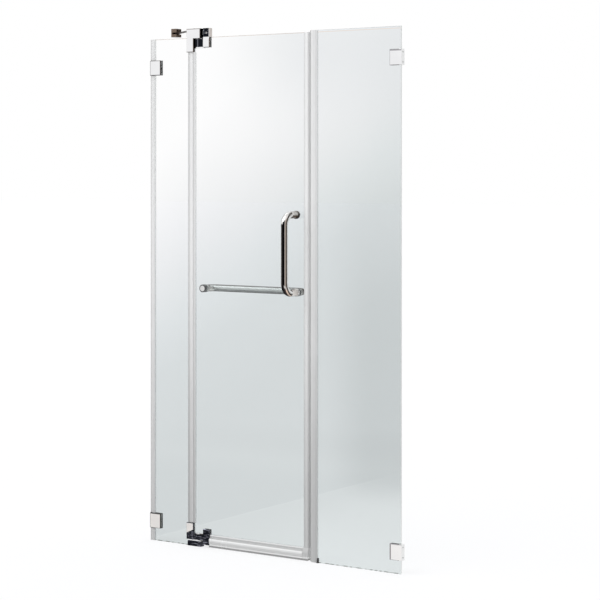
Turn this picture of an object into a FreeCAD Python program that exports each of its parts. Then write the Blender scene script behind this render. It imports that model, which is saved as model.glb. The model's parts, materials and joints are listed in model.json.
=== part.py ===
import FreeCAD, Part
import math
import os
import Sketcher

# A three-panel frameless pivot shower door for a walled opening.
#
# A narrow fixed glass panel stands at the left wall and a wider one at the right wall.  The door
# between them turns on two pivots, one over and one under its left corner, and swings outward.
# Each pivot has a fixed half, which clamps the left panel's free edge, and a door half, whose
# arm reaches back to the pivot axis through a notch in the door's glass.
#
# Frame: the pivot axis is Z and the floor is Z = 0.  X runs to the right along the glass and
# Y runs into the shower, so whoever opens the door stands on the -Y side.  Millimetres.

Vector = FreeCAD.Vector
doc = FreeCAD.newDocument("pivot_shower_door")


# ---------------------------------------------------------------------------------------------
# Driving dimensions
# ---------------------------------------------------------------------------------------------

DIMENSIONS = [
    ("overall_width", 1067.0, "wall to wall"),
    ("panel_height", 1829.0, "right panel, floor to top"),
    ("door_drop", 6.0, "how much lower the door and the left panel end"),
    ("glass_thick", 8.0, "every panel"),
    ("glass_arris", 0.8, "ground edge of the glass"),
    ("wall_gap", 6.0, "wall to glass edge"),
    ("pivot_to_wall", 212.0, "pivot axis to left wall"),
    ("panel_edge", 32.0, "pivot axis to the left panel's free edge"),
    ("door_heel", 13.0, "door glass beyond the pivot axis"),
    ("door_reach", 478.0, "pivot axis to the door's free edge"),
    ("strike_gap", 16.0, "door glass to right panel glass"),
    ("floor_gap", 14.0, "door glass above the floor"),
    # hardware
    ("gasket_thick", 1.0, "clear pad between glass and metal"),
    ("plate_thick", 5.0, "metal in front of and behind the glass"),
    ("edge_bevel", 1.5, "bevel round the chrome faces"),
    ("fit_gap", 0.1, "play round a fastener"),
    ("screw_radius", 2.4, "clamping screws"),
    ("screw_head_radius", 4.4, "countersunk head"),
    ("screw_socket", 1.6, "hexagon socket, centre to corner"),
    ("screw_tip_cover", 1.2, "metal left in front of a screw's tip"),
    # wall clamps
    ("clamp_width", 47.0, "wall to free edge"),
    ("clamp_height", 54.0, "top to bottom"),
    ("clamp_web", 5.0, "plate against the wall"),
    ("clamp_screw_in", 28.0, "wall to clamping screws"),
    ("clamp_screw_rise", 13.0, "clamping screws above and below the middle"),
    ("wall_hole_rise", 17.0, "wall screw holes above and below the middle"),
    ("wall_hole_radius", 2.5, "wall screw holes"),
    ("wall_sink_radius", 4.8, "countersink of the wall screw holes"),
    ("clamp_below_top", 104.0, "upper clamps' middles below their panel's top"),
    ("clamp_rise", 73.0, "lower clamps' middles above the floor"),
    ("glass_hole_radius", 5.0, "clearance holes in the glass"),
    # pivot hinges
    ("limb_width", 31.0, "vertical limb on the left panel's edge"),
    ("limb_gap", 15.0, "pivot axis to the vertical limb"),
    ("limb_screw_out", 23.0, "pivot axis to the vertical limb's screws"),
    ("limb_screw_inset", 13.0, "limb screws from the limb's ends"),
    ("head_reach", 15.0, "outer limb beyond the pivot axis"),
    ("head_rise", 32.0, "top hinge above the door's glass"),
    ("head_drop", 4.0, "outer limb's lower face below the glass top"),
    ("top_limb_drop", 52.0, "vertical limb's end below the glass top"),
    ("arm_below_top", 5.5, "door arm's upper face below the glass top"),
    ("arm_height", 29.0, "top arm"),
    ("knuckle_radius", 10.0, "rounded end of both arms"),
    ("block_start", 28.0, "pivot axis to the door block"),
    ("block_width", 28.0, "door block along the glass"),
    ("block_drop", 37.0, "top door block's end below the glass top"),
    ("block_step", 1.0, "the riser's face is set back from the block's"),
    ("block_screw_out", 45.0, "pivot axis to the door block's screws"),
    ("block_screw_pitch", 17.0, "between the door block's screws"),
    ("notch_reach", 31.0, "pivot axis to the notch's upright edge"),
    ("notch_clear", 4.0, "glass notch beyond the arm"),
    ("notch_side", 2.0, "left panel's notch beyond the base"),
    ("base_left", 40.0, "bottom base to the left of the axis"),
    ("base_right", 19.0, "bottom base to the right of the axis"),
    ("base_height", 19.5, "bottom base"),
    ("base_bevel", 2.6, "bevel round the base's top"),
    ("bearing_thick", 3.0, "nylon bearing plate on the base"),
    ("bearing_inset", 0.6, "bearing plate inside the base's outline"),
    ("bottom_limb_top", 81.5, "vertical limb's top above the floor"),
    ("bottom_arm_gap", 1.5, "arm above the bearing plate"),
    ("bottom_arm_height", 19.0, "bottom arm"),
    ("bottom_block_low", 9.0, "door block above the floor"),
    ("bottom_block_top", 65.0, "door block's top above the floor"),
    ("pin_radius", 4.0, "both pivot pins"),
    ("pin_play", 0.05, "running clearance round a pin"),
    ("pin_floor", 5.0, "metal under the lower pin"),
    ("pin_recess", 3.0, "pin ends inside the arms"),
    ("pin_lead", 0.6, "bevel on the ends of pins and screws"),
    ("pin_into_head", 28.0, "upper pin's bore in the outer limb"),
    ("bush_radius", 6.0, "bush in the arm"),
    ("bush_press", 0.02, "bush under the size of its seat"),
    ("bush_flange", 9.0, "bush flange radius"),
    ("bush_flange_thick", 1.0, "bush flange"),
    ("set_screw_radius", 4.0, "adjusting screw in the riser"),
    ("set_screw_length", 10.0, "adjusting screw in the riser"),
    ("set_screw_out", 42.0, "pivot axis to the adjusting screw"),
    ("set_screw_rise", 15.0, "adjusting screw above the glass top"),
    ("set_screw_recess", 1.0, "adjusting screw below the riser's face"),
    ("base_screw_radius", 3.0, "screw that holds the base to the limb"),
    ("base_screw_head", 5.5, "its countersunk head"),
    ("base_screw_socket", 2.0, "its hexagon socket, centre to corner"),
    ("base_screw_grip", 8.0, "its thread in the limb"),
    # seals
    ("seal_wall", 1.5, "legs of the clear channels"),
    ("seal_gap", 0.5, "seals clear of the wall clamps"),
    ("wall_seal_width", 19.0, "channel at the left wall"),
    ("wall_seal_web", 4.0, "its web against the wall"),
    ("edge_seal_leg", 9.0, "channel legs on the left panel's free edge"),
    ("edge_fin", 11.0, "that channel's front fin beyond the glass"),
    ("heel_seal_leg", 4.0, "channel legs on the door's heel"),
    ("heel_front_fin", 5.5, "that channel's front fin beyond the glass"),
    ("heel_fin", 9.5, "its middle fin beyond the glass"),
    ("fin_thick", 3.0, "hinge-side fins"),
    ("seal_end_gap", 1.0, "seal ends clear of the hinges"),
    ("strike_leg", 17.0, "channel legs on the door's free edge"),
    ("strike_lip", 5.5, "lip beyond that channel"),
    ("jamb_leg", 21.0, "channel legs on the right panel's edge"),
    ("jamb_web", 3.5, "web of the right panel's channel"),
    ("jamb_flange", 10.0, "stop flange behind the door's lip"),
    ("strike_clear", 0.3, "stop flange behind the door's lip"),
    ("jamb_flange_thick", 1.8, "stop flange"),
    ("drip_top", 47.0, "top of the drip seal above the floor"),
    ("drip_low", 4.0, "lowest edge of the drip seal"),
    ("drip_bulge", 13.0, "drip rail in front of the glass middle"),
    ("drip_rail_top", 38.0, "where the rail leaves the channel's leg"),
    ("drip_shoulder", 33.0, "upper corner of the rail"),
    ("drip_rail_low", 15.5, "lower corner of the rail"),
    ("drip_round", 3.4, "rounding of the rail"),
    ("drip_groove", 10.0, "groove under the rail, from the glass middle"),
    ("drip_lip", 13.5, "lip in front of the glass middle"),
    ("drip_button", 4.5, "round boss on the moulded end"),
    ("drip_start_gap", 2.0, "drip seal clear of the hinge block"),
    ("drip_end_width", 21.0, "moulded end of the drip seal"),
    ("foot_width", 7.0, "black wedge at the right panel's foot"),
    ("foot_height", 17.0, "black wedge at the right panel's foot"),
    ("foot_depth", 9.0, "its foot in front of the glass middle"),
    # pull handle and towel bar
    ("tube_radius", 12.5, "handle and towel bar"),
    ("tube_wall", 2.0, "handle and towel bar"),
    ("handle_inset", 48.0, "handle from the door's free edge"),
    ("handle_low", 925.0, "lower mount above the floor"),
    ("handle_span", 268.0, "between the handle's mounts"),
    ("handle_reach", 80.0, "handle axis in front of the glass middle"),
    ("handle_bend", 36.0, "bend radius of the handle"),
    ("towel_left", 28.0, "pivot axis to the towel bar's left mount"),
    ("towel_reach", 46.0, "bar axis behind the glass middle"),
    ("towel_bend", 26.0, "bend radius of the towel bar"),
    ("rosette_radius", 14.0, "rosettes, and the cap outside the towel bar"),
    ("rosette_thick", 8.0, "rosettes, and that cap"),
    ("rosette_bevel", 1.2, "edge of rosettes and caps"),
    ("inner_cap_radius", 9.0, "flat cap inside the handle's upper mount"),
    ("inner_cap_thick", 3.5, "that cap"),
    ("washer_thick", 1.0, "clear washers on the glass"),
    ("stud_radius", 4.0, "through studs"),
    ("stud_hole_radius", 6.0, "holes in the glass for the studs"),
    ("stud_into_tube", 6.0, "stud and its plug beyond a rosette"),
    # support brace
    ("brace_radius", 3.5, "rod"),
    ("brace_rise", 30.0, "rod above the glass top"),
    ("brace_eye_radius", 7.0, "flat eyes at the rod's ends"),
    ("brace_eye_thick", 6.0, "flat eyes at the rod's ends"),
    ("brace_tongue", 16.0, "flat part from an eye's middle"),
    ("bracket_low", 16.0, "wall bracket's foot above the glass top"),
    ("bracket_height", 31.0, "wall bracket"),
    ("bracket_width", 30.0, "wall bracket along the wall"),
    ("bracket_depth", 25.0, "wall bracket out from the wall"),
    ("bracket_back", 130.0, "wall bracket's middle behind the door plane"),
    ("bracket_slot", 6.6, "slot for the rod's eye"),
    ("bracket_hole_rise", 39.5, "wall screw holes above the glass top"),
    ("bracket_hole_pitch", 15.0, "between the wall screw holes"),
    ("bracket_hole_radius", 2.2, "wall screw holes"),
    ("bracket_counterbore", 4.2, "wide part of those holes"),
    ("bracket_flange", 5.0, "metal left at the wall"),
    ("bracket_pin_out", 16.0, "wall to the screw through the fork"),
    ("brace_pin_radius", 2.5, "screws through the rod's eyes"),
    ("brace_pin_head", 4.6, "heads of those screws"),
    ("eye_screw_head", 2.4, "round head on the lug's screw"),
    ("lug_left", 34.0, "hinge lug to the left of the pivot axis"),
    ("lug_back", 20.0, "lug axis behind the glass middle"),
    ("lug_radius", 7.5, "lug"),
    ("lug_low", 15.0, "lug's post above the glass top"),
    ("lug_foot", 10.0, "lug's plate below its post"),
    ("lug_plate", 3.0, "lug's plate"),
    ("lug_screw_grip", 8.0, "lug screw in the hinge"),
]


class Size:
    """A length that knows both its number and the sheet expression that gives it."""

    def __init__(self, number, text):
        self.number = number
        self.text = text

    def combined(self, other, sign, number):
        text = other.text if isinstance(other, Size) else repr(other)
        return Size(number, "(%s %s %s)" % (self.text, sign, text))

    def __add__(self, other):
        return self.combined(other, "+", self.number + number_of(other))

    def __sub__(self, other):
        return self.combined(other, "-", self.number - number_of(other))

    def __mul__(self, other):
        return self.combined(other, "*", self.number * number_of(other))

    def __truediv__(self, other):
        return self.combined(other, "/", self.number / number_of(other))

    def __neg__(self):
        return Size(-self.number, "(0 - %s)" % self.text)


def number_of(value):
    return value.number if isinstance(value, Size) else float(value)


class Dimensions:
    """Every row of the sheet as an attribute."""


def fill_sheet(rows):
    sheet = doc.addObject("Spreadsheet::Sheet", "Sizes")
    found = Dimensions()
    for row, (name, value, note) in enumerate(rows, start=1):
        sheet.set("A%d" % row, name)
        sheet.set("B%d" % row, "%g" % value)
        sheet.setAlias("B%d" % row, name)
        sheet.set("C%d" % row, note)
        setattr(found, name, Size(value, "Sizes." + name))
    doc.recompute()
    return found


d = fill_sheet(DIMENSIONS)
zero = Size(0.0, "0")

# Places that many pieces share, worked out from the sheet.
glass_half = d.glass_thick / 2
pad_face = glass_half + d.gasket_thick
half_depth = pad_face + d.plate_thick
glass_top = d.panel_height - d.door_drop
left_wall = -d.pivot_to_wall
right_wall = d.overall_width - d.pivot_to_wall
left_glass_edge = left_wall + d.wall_gap
right_glass_edge = right_wall - d.wall_gap
jamb_glass_edge = d.door_reach + d.strike_gap
limb_left = -(d.limb_gap + d.limb_width)
limb_right = -d.limb_gap
spine_left = d.gasket_thick - d.panel_edge
block_end = d.block_start + d.block_width
arm_end = d.notch_reach - d.gasket_thick
arm_top = glass_top - d.arm_below_top
arm_low = arm_top - d.arm_height
block_low = glass_top - d.block_drop
head_low = glass_top - d.head_drop
head_top = glass_top + d.head_rise
bearing_top = d.base_height + d.bearing_thick
bottom_arm_low = bearing_top + d.bottom_arm_gap
bottom_arm_top = bottom_arm_low + d.bottom_arm_height
handle_top = d.handle_low + d.handle_span
handle_out = d.door_reach - d.handle_inset
towel_span = handle_out - d.towel_left
pin_bore_top = head_low + d.pin_into_head
head_sunk = d.fit_gap / 2
set_screw_spot = (d.set_screw_out, glass_top + d.set_screw_rise)
lug_screw_rise = d.lug_low - d.lug_foot / 2
notch_gap = d.gasket_thick
mount_face = glass_half + d.washer_thick
rosette_face = mount_face + d.rosette_thick


# ---------------------------------------------------------------------------------------------
# Building blocks
# ---------------------------------------------------------------------------------------------

PLANES = {"X": "YZ_Plane", "Y": "XZ_Plane", "Z": "XY_Plane"}
SKETCH_ORIGIN = -1
SINK_ANGLE = 90
TOUCH = 1e-4
pieces = []


def place(item, x=0, y=0, z=0, rotation=None):
    """Puts a piece at (x, y, z), with the place bound to the sheet."""
    item.Placement = FreeCAD.Placement(Vector(number_of(x), number_of(y), number_of(z)),
                                       rotation or FreeCAD.Rotation())
    for axis, value in zip("xyz", (x, y, z)):
        if isinstance(value, Size):
            item.setExpression("Placement.Base." + axis, value.text)


def new_body(label, x=0, y=0, z=0, rotation=None):
    item = doc.addObject("PartDesign::Body", label)
    item.Label = label
    place(item, x, y, z, rotation)
    pieces.append(item)
    return item


def new_sketch(item, axis, level):
    """A sketch across the given axis at the given level along it."""
    plane = [part for part in item.Origin.OriginFeatures if part.Role == PLANES[axis]][0]
    sketch = item.newObject("Sketcher::SketchObject", item.Label + "_sketch")
    sketch.AttachmentSupport = (plane, "")
    sketch.MapMode = "FlatFace"
    # the XZ plane's own normal is -Y
    offset = -level if axis == "Y" else level
    sketch.AttachmentOffset = FreeCAD.Placement(Vector(0, 0, offset.number), FreeCAD.Rotation())
    sketch.setExpression("AttachmentOffset.Base.z", offset.text)
    return sketch


def pin_point(sketch, geometry, end, across, up):
    """Holds one point of a sketch at (across, up)."""
    for kind, value in (("DistanceX", across), ("DistanceY", up)):
        number = number_of(value)
        index = sketch.addConstraint(
            Sketcher.Constraint(kind, SKETCH_ORIGIN, 1, geometry, end, number))
        if isinstance(value, Size):
            sketch.setExpression("Constraints[%d]" % index, value.text)


def draw_outline(sketch, corners):
    """A closed outline of straight lines through the corners."""
    first = sketch.GeometryCount
    count = len(corners)
    points = [Vector(number_of(across), number_of(up), 0) for across, up in corners]
    for index in range(count):
        sketch.addGeometry(Part.LineSegment(points[index], points[(index + 1) % count]))
    for index in range(count):
        after = first + (index + 1) % count
        sketch.addConstraint(Sketcher.Constraint("Coincident", first + index, 2, after, 1))
    for index, (across, up) in enumerate(corners):
        pin_point(sketch, first + index, 1, across, up)


def draw_circle(sketch, across, up, radius):
    centre = Vector(number_of(across), number_of(up), 0)
    index = sketch.addGeometry(Part.Circle(centre, Vector(0, 0, 1), number_of(radius)))
    pin_point(sketch, index, 3, across, up)
    mark = sketch.addConstraint(Sketcher.Constraint("Radius", index, number_of(radius)))
    if isinstance(radius, Size):
        sketch.setExpression("Constraints[%d]" % mark, radius.text)


def box_corners(left, right, low, high):
    return [(left, low), (right, low), (right, high), (left, high)]


def draw(sketch, shapes):
    for shape in shapes:
        if len(shape) == 3:
            draw_circle(sketch, *shape)
        else:
            draw_outline(sketch, shape)


def set_length(feature, low, high):
    length = high - low
    feature.Length = length.number
    feature.setExpression("Length", length.text)


def solid(item, axis, low, high, *shapes):
    """Adds material between two levels along an axis.  A shape is a list of corners, or a
    circle as (across, up, radius)."""
    sketch = new_sketch(item, axis, high if axis == "Y" else low)
    draw(sketch, shapes)
    pad = item.newObject("PartDesign::Pad", item.Label + "_pad")
    pad.Profile = sketch
    set_length(pad, low, high)
    doc.recompute()
    return pad


def cut(item, axis, low, high, *shapes):
    """Takes material away between two levels along an axis."""
    before = item.Shape.Volume
    sketch = new_sketch(item, axis, low if axis == "Y" else high)
    draw(sketch, shapes)
    pocket = item.newObject("PartDesign::Pocket", item.Label + "_pocket")
    pocket.Profile = sketch
    set_length(pocket, low, high)
    doc.recompute()
    if item.Shape.Volume >= before:
        raise RuntimeError("a pocket in %s cuts nothing" % item.Label)
    return pocket


def drill(item, axis, level, heading, spots, radius, depth, sink_radius=None):
    """Holes from a level along an axis, heading +1 or -1, countersunk if a sink is given."""
    before = item.Shape.Volume
    sketch = new_sketch(item, axis, level)
    for across, up in spots:
        draw_circle(sketch, across, up, radius)
    doc.recompute()
    hole = item.newObject("PartDesign::Hole", item.Label + "_hole")
    hole.Profile = sketch
    hole.Threaded = False
    hole.DepthType = "Dimension"
    hole.DrillPoint = "Flat"
    # a hole runs against its sketch's normal, which is -Y on the XZ plane
    hole.Reversed = heading < 0 if axis == "Y" else heading > 0
    hole.Diameter = 2 * number_of(radius)
    hole.setExpression("Diameter", (radius * 2).text)
    hole.Depth = number_of(depth)
    hole.setExpression("Depth", depth.text)
    if sink_radius:
        hole.HoleCutType = "Countersink"
        hole.HoleCutCustomValues = True
        hole.HoleCutDiameter = 2 * number_of(sink_radius)
        hole.setExpression("HoleCutDiameter", (sink_radius * 2).text)
        hole.HoleCutCountersinkAngle = SINK_ANGLE
    doc.recompute()
    if item.Shape.Volume >= before:
        raise RuntimeError("a hole in %s cuts nothing" % item.Label)
    return hole


def chosen_edges(feature, wanted):
    return ["Edge%d" % index for index, edge in enumerate(feature.Shape.Edges, start=1)
            if wanted(edge)]


def bevel(item, size, wanted):
    """A chamfer on the edges that a test picks out."""
    base = item.Tip
    chamfer = item.newObject("PartDesign::Chamfer", item.Label + "_chamfer")
    chamfer.Base = (base, chosen_edges(base, wanted))
    chamfer.Size = number_of(size)
    chamfer.setExpression("Size", size.text)
    doc.recompute()
    return chamfer


def round_over(item, size, wanted):
    """A fillet on the edges that a test picks out."""
    base = item.Tip
    fillet = item.newObject("PartDesign::Fillet", item.Label + "_fillet")
    fillet.Base = (base, chosen_edges(base, wanted))
    fillet.Radius = number_of(size)
    fillet.setExpression("Radius", size.text)
    doc.recompute()
    return fillet


def lies_at(axis, level):
    """Tests whether an edge lies wholly at a level along an axis."""
    low = {"X": "XMin", "Y": "YMin", "Z": "ZMin"}[axis]
    high = {"X": "XMax", "Y": "YMax", "Z": "ZMax"}[axis]
    number = number_of(level)

    def test(edge):
        box = edge.BoundBox
        return max(abs(getattr(box, low) - number), abs(getattr(box, high) - number)) < TOUCH
    return test


def above(level):
    """Tests whether an edge reaches above a height."""
    return lambda edge: edge.BoundBox.ZMax > number_of(level)


def both(*tests):
    return lambda edge: all(test(edge) for test in tests)


def either(*tests):
    return lambda edge: any(test(edge) for test in tests)


def group(label, shapes):
    """One node that holds several like solids."""
    item = doc.addObject("Part::Feature", label)
    item.Label = label
    item.Shape = Part.makeCompound(shapes)
    pieces.append(item)
    return item


def box_solid(x_low, x_high, y_low, y_high, z_low, z_high):
    values = [number_of(v) for v in (x_low, x_high, y_low, y_high, z_low, z_high)]
    return Part.makeBox(values[1] - values[0], values[3] - values[2], values[5] - values[4],
                        Vector(values[0], values[2], values[4]))


def drilled(shape, axis, spots, radius):
    """The shape less round holes right through it along an axis."""
    box = shape.BoundBox
    reach = box.DiagonalLength
    for spot in spots:
        at = Vector(*[number_of(value) for value in spot])
        hole = Part.makeCylinder(number_of(radius), 2 * reach, at - axis * reach, axis)
        shape = shape.cut(hole)
    return shape


def turned(profile, at=Vector(), axis=Vector(0, 0, 1)):
    """A solid of revolution from (radius, height) corners, stood at a point along an axis."""
    corners = [Vector(radius, 0, height) for radius, height in profile]
    wire = Part.makePolygon(corners + corners[:1])
    shape = Part.Face(wire).revolve(Vector(), Vector(0, 0, 1), 360)
    shape.Placement = FreeCAD.Placement(at, FreeCAD.Rotation(Vector(0, 0, 1), axis))
    return shape


def countersunk_screw(head_at, direction, length, radius, head_radius, socket):
    """A screw whose flat head lies at a point; its shank runs along the direction."""
    profile = [(0, 0), (head_radius, 0), (radius, radius - head_radius), (radius, -length),
               (0, -length)]
    shape = turned(profile, head_at, -direction)
    corners = [Vector(socket * math.cos(math.radians(60 * turn)),
                      socket * math.sin(math.radians(60 * turn)), 0) for turn in range(7)]
    key = Part.Face(Part.makePolygon(corners)).extrude(Vector(0, 0, -socket))
    key.Placement = FreeCAD.Placement(head_at, FreeCAD.Rotation(Vector(0, 0, 1), -direction))
    return shape.cut(key)


# ---------------------------------------------------------------------------------------------
# Glass
# ---------------------------------------------------------------------------------------------

def clamp_levels(left):
    """Heights of the upper and the lower wall clamp on one side."""
    panel_top = glass_top if left else d.panel_height
    return panel_top - d.clamp_below_top, d.clamp_rise


def clamp_glass_holes(left):
    across = left_wall + d.clamp_screw_in if left else right_wall - d.clamp_screw_in
    holes = []
    for level in clamp_levels(left):
        holes.append((across, level + d.clamp_screw_rise, d.glass_hole_radius))
        holes.append((across, level - d.clamp_screw_rise, d.glass_hole_radius))
    return holes


def glass_pane(label, corners, holes):
    """A pane with ground edges, bored for its fittings."""
    pane = new_body(label)
    solid(pane, "Y", -glass_half, glass_half, corners)
    bevel(pane, d.glass_arris, either(lies_at("Y", -glass_half), lies_at("Y", glass_half)))
    cut(pane, "Y", -glass_half, glass_half, *holes)
    return pane


def left_panel():
    notch_left = -d.base_left - d.notch_side
    notch_top = bearing_top + notch_gap
    corners = [(left_glass_edge, 0), (notch_left, 0), (notch_left, notch_top),
               (-d.panel_edge, notch_top), (-d.panel_edge, glass_top),
               (left_glass_edge, glass_top)]
    glass_pane("left_panel_glass", corners, clamp_glass_holes(left=True))


def right_panel():
    corners = box_corners(jamb_glass_edge, right_glass_edge, 0, d.panel_height)
    glass_pane("right_panel_glass", corners, clamp_glass_holes(left=False))


def block_screw_levels():
    """Heights of the door blocks' screws: two on the top hinge, two on the bottom one."""
    half = d.block_screw_pitch / 2
    top_middle = glass_top - d.block_drop / 2
    low_middle = (d.floor_gap + d.bottom_block_top) / 2
    return [top_middle + half, top_middle - half, low_middle + half, low_middle - half]


def mount_spots():
    """Where the studs of the handle and the towel bar pass through the door."""
    return [(handle_out, handle_top), (handle_out, d.handle_low), (d.towel_left, d.handle_low)]


def door_panel():
    top_notch = arm_low - d.notch_clear
    low_notch = bottom_arm_top + d.notch_clear
    corners = [(d.notch_reach, d.floor_gap), (d.door_reach, d.floor_gap),
               (d.door_reach, glass_top), (d.notch_reach, glass_top),
               (d.notch_reach, top_notch), (-d.door_heel, top_notch),
               (-d.door_heel, low_notch), (d.notch_reach, low_notch)]
    holes = [(d.block_screw_out, level, d.glass_hole_radius) for level in block_screw_levels()]
    holes += [(across, level, d.stud_hole_radius) for across, level in mount_spots()]
    glass_pane("door_glass", corners, holes)


left_panel()
right_panel()
door_panel()


# ---------------------------------------------------------------------------------------------
# Wall clamps
# ---------------------------------------------------------------------------------------------

screw_length = half_depth * 2 - d.screw_tip_cover - d.fit_gap * 2
tapped_radius = d.screw_radius + d.fit_gap
sunk_radius = d.screw_head_radius + d.fit_gap


def clamping_screw(across, level):
    """A countersunk screw that runs forward from a rear cover into the front casting."""
    head = Vector(number_of(across), number_of(half_depth - head_sunk), number_of(level))
    return countersunk_screw(head, Vector(0, -1, 0), number_of(screw_length),
                             number_of(d.screw_radius), number_of(d.screw_head_radius),
                             number_of(d.screw_socket))


def off_the_wall(edge):
    return edge.BoundBox.XMax > TOUCH


def clamp_base(label, x, z, rotation=None):
    """Front plate and wall web in one casting.  Local x runs from the wall over the glass."""
    base = new_body(label, x, 0, z, rotation)
    half_height = d.clamp_height / 2
    corner = [(0, -half_depth), (d.clamp_width, -half_depth), (d.clamp_width, -pad_face),
              (d.clamp_web, -pad_face), (d.clamp_web, pad_face), (0, pad_face)]
    solid(base, "Z", -half_height, half_height, corner)
    front = lies_at("Y", -half_depth)
    bevel(base, d.edge_bevel, both(front, off_the_wall))
    wall_spots = [(0, d.wall_hole_rise), (0, -d.wall_hole_rise)]
    drill(base, "X", d.clamp_web, -1, wall_spots, d.wall_hole_radius, d.clamp_web,
          d.wall_sink_radius)
    screw_spots = [(d.clamp_screw_in, d.clamp_screw_rise), (d.clamp_screw_in, -d.clamp_screw_rise)]
    drill(base, "Y", -pad_face, -1, screw_spots, tapped_radius,
          d.plate_thick - d.screw_tip_cover)


def clamp_cover(label, x, z, rotation=None):
    """The loose plate on the shower's side."""
    cover = new_body(label, x, 0, z, rotation)
    half_height = d.clamp_height / 2
    solid(cover, "Y", pad_face, half_depth, box_corners(0, d.clamp_width, -half_height, half_height))
    back = lies_at("Y", half_depth)
    bevel(cover, d.edge_bevel, both(back, off_the_wall))
    screw_spots = [(d.clamp_screw_in, d.clamp_screw_rise), (d.clamp_screw_in, -d.clamp_screw_rise)]
    drill(cover, "Y", half_depth, -1, screw_spots, tapped_radius, d.plate_thick, sunk_radius)


def wall_clamps():
    half_turn = FreeCAD.Rotation(Vector(0, 1, 0), 180)
    pads = []
    screws = []
    for side, left in (("left", True), ("right", False)):
        wall = left_wall if left else right_wall
        inward = 1 if left else -1
        rotation = None if left else half_turn
        glass_start = d.wall_gap
        for height, level in zip(("upper", "lower"), clamp_levels(left)):
            clamp_base("%s_%s_clamp_base" % (height, side), wall, level, rotation)
            clamp_cover("%s_%s_clamp_cover" % (height, side), wall, level, rotation)
            ends = sorted([number_of(wall + glass_start * inward),
                           number_of(wall + d.clamp_width * inward)])
            low = level - d.clamp_height / 2
            high = level + d.clamp_height / 2
            across = wall + d.clamp_screw_in * inward
            levels = [level + d.clamp_screw_rise, level - d.clamp_screw_rise]
            spots = [(across, 0, at) for at in levels]
            for near, far in ((-pad_face, -glass_half), (glass_half, pad_face)):
                pad = box_solid(ends[0], ends[1], near, far, low, high)
                pads.append(drilled(pad, Vector(0, 1, 0), spots, d.glass_hole_radius))
            screws += [clamping_screw(across, at) for at in levels]
    group("wall_clamp_gaskets", pads)
    group("wall_clamp_screws", screws)


wall_clamps()


# ---------------------------------------------------------------------------------------------
# Pivot hinges: fixed halves
# ---------------------------------------------------------------------------------------------

def limb_screw_levels():
    """Heights of the vertical limbs' screws: two on the top hinge, two on the bottom one."""
    top_low = glass_top - d.top_limb_drop
    return [head_low - d.limb_screw_inset, top_low + d.limb_screw_inset,
            d.bottom_limb_top - d.limb_screw_inset, bearing_top + d.limb_screw_inset]


def limb_cover(label, low, high, levels):
    """The loose rear plate of a vertical limb."""
    cover = new_body(label)
    solid(cover, "Y", pad_face, half_depth, box_corners(limb_left, limb_right, low, high))
    bevel(cover, d.edge_bevel, lies_at("Y", half_depth))
    spots = [(-d.limb_screw_out, level) for level in levels]
    drill(cover, "Y", half_depth, -1, spots, tapped_radius, d.plate_thick, sunk_radius)


def top_fixed_half():
    """An outer limb over the pivot and a vertical limb down the left panel's edge."""
    half = new_body("top_hinge_fixed_body")
    limb_low = glass_top - d.top_limb_drop
    face = [(limb_left, limb_low), (limb_right, limb_low), (limb_right, head_low),
            (d.head_reach, head_low), (d.head_reach, head_top), (limb_left, head_top)]
    solid(half, "Y", -half_depth, half_depth, face)
    bevel(half, d.edge_bevel, either(
        lies_at("Y", -half_depth),
        both(lies_at("Y", half_depth), above(head_low + d.edge_bevel))))
    # room for the rear cover
    over = d.plate_thick
    cut(half, "Y", pad_face, half_depth + over, box_corners(
        limb_left - over, limb_right + over, limb_low - over, head_low))
    # slot for the left panel's corner
    slot_top = glass_top + d.gasket_thick
    cut(half, "Y", -pad_face, pad_face, box_corners(
        limb_left - over, spine_left, limb_low - over, slot_top))
    cut(half, "Z", head_low, pin_bore_top, (0, 0, d.pin_radius + d.fit_gap / 2))
    levels = limb_screw_levels()[:2]
    spots = [(-d.limb_screw_out, level) for level in levels]
    drill(half, "Y", pad_face, -1, spots, tapped_radius,
          pad_face + half_depth - d.screw_tip_cover)
    drill(half, "Y", half_depth, -1, [(-d.lug_left, glass_top + lug_screw_rise)], tapped_radius,
          d.lug_screw_grip + d.fit_gap)
    limb_cover("top_hinge_fixed_cover", limb_low, head_low, levels)


def bottom_fixed_half():
    """A vertical limb that stands on the pivot base."""
    half = new_body("bottom_hinge_fixed_body")
    face = box_corners(limb_left, limb_right, bearing_top, d.bottom_limb_top)
    solid(half, "Y", -half_depth, pad_face, face)
    bevel(half, d.edge_bevel, lies_at("Y", -half_depth))
    over = d.plate_thick
    cut(half, "Y", -pad_face, pad_face, box_corners(
        limb_left - over, spine_left, bearing_top - over, d.bottom_limb_top + over))
    levels = limb_screw_levels()[2:]
    spots = [(-d.limb_screw_out, level) for level in levels]
    drill(half, "Y", pad_face, -1, spots, tapped_radius,
          pad_face + half_depth - d.screw_tip_cover)
    drill(half, "Z", bearing_top, 1, [(-d.limb_screw_out, zero)],
          d.base_screw_radius + d.fit_gap, d.base_screw_grip + d.fit_gap * 2)
    limb_cover("bottom_hinge_fixed_cover", bearing_top, d.bottom_limb_top, levels)


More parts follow.
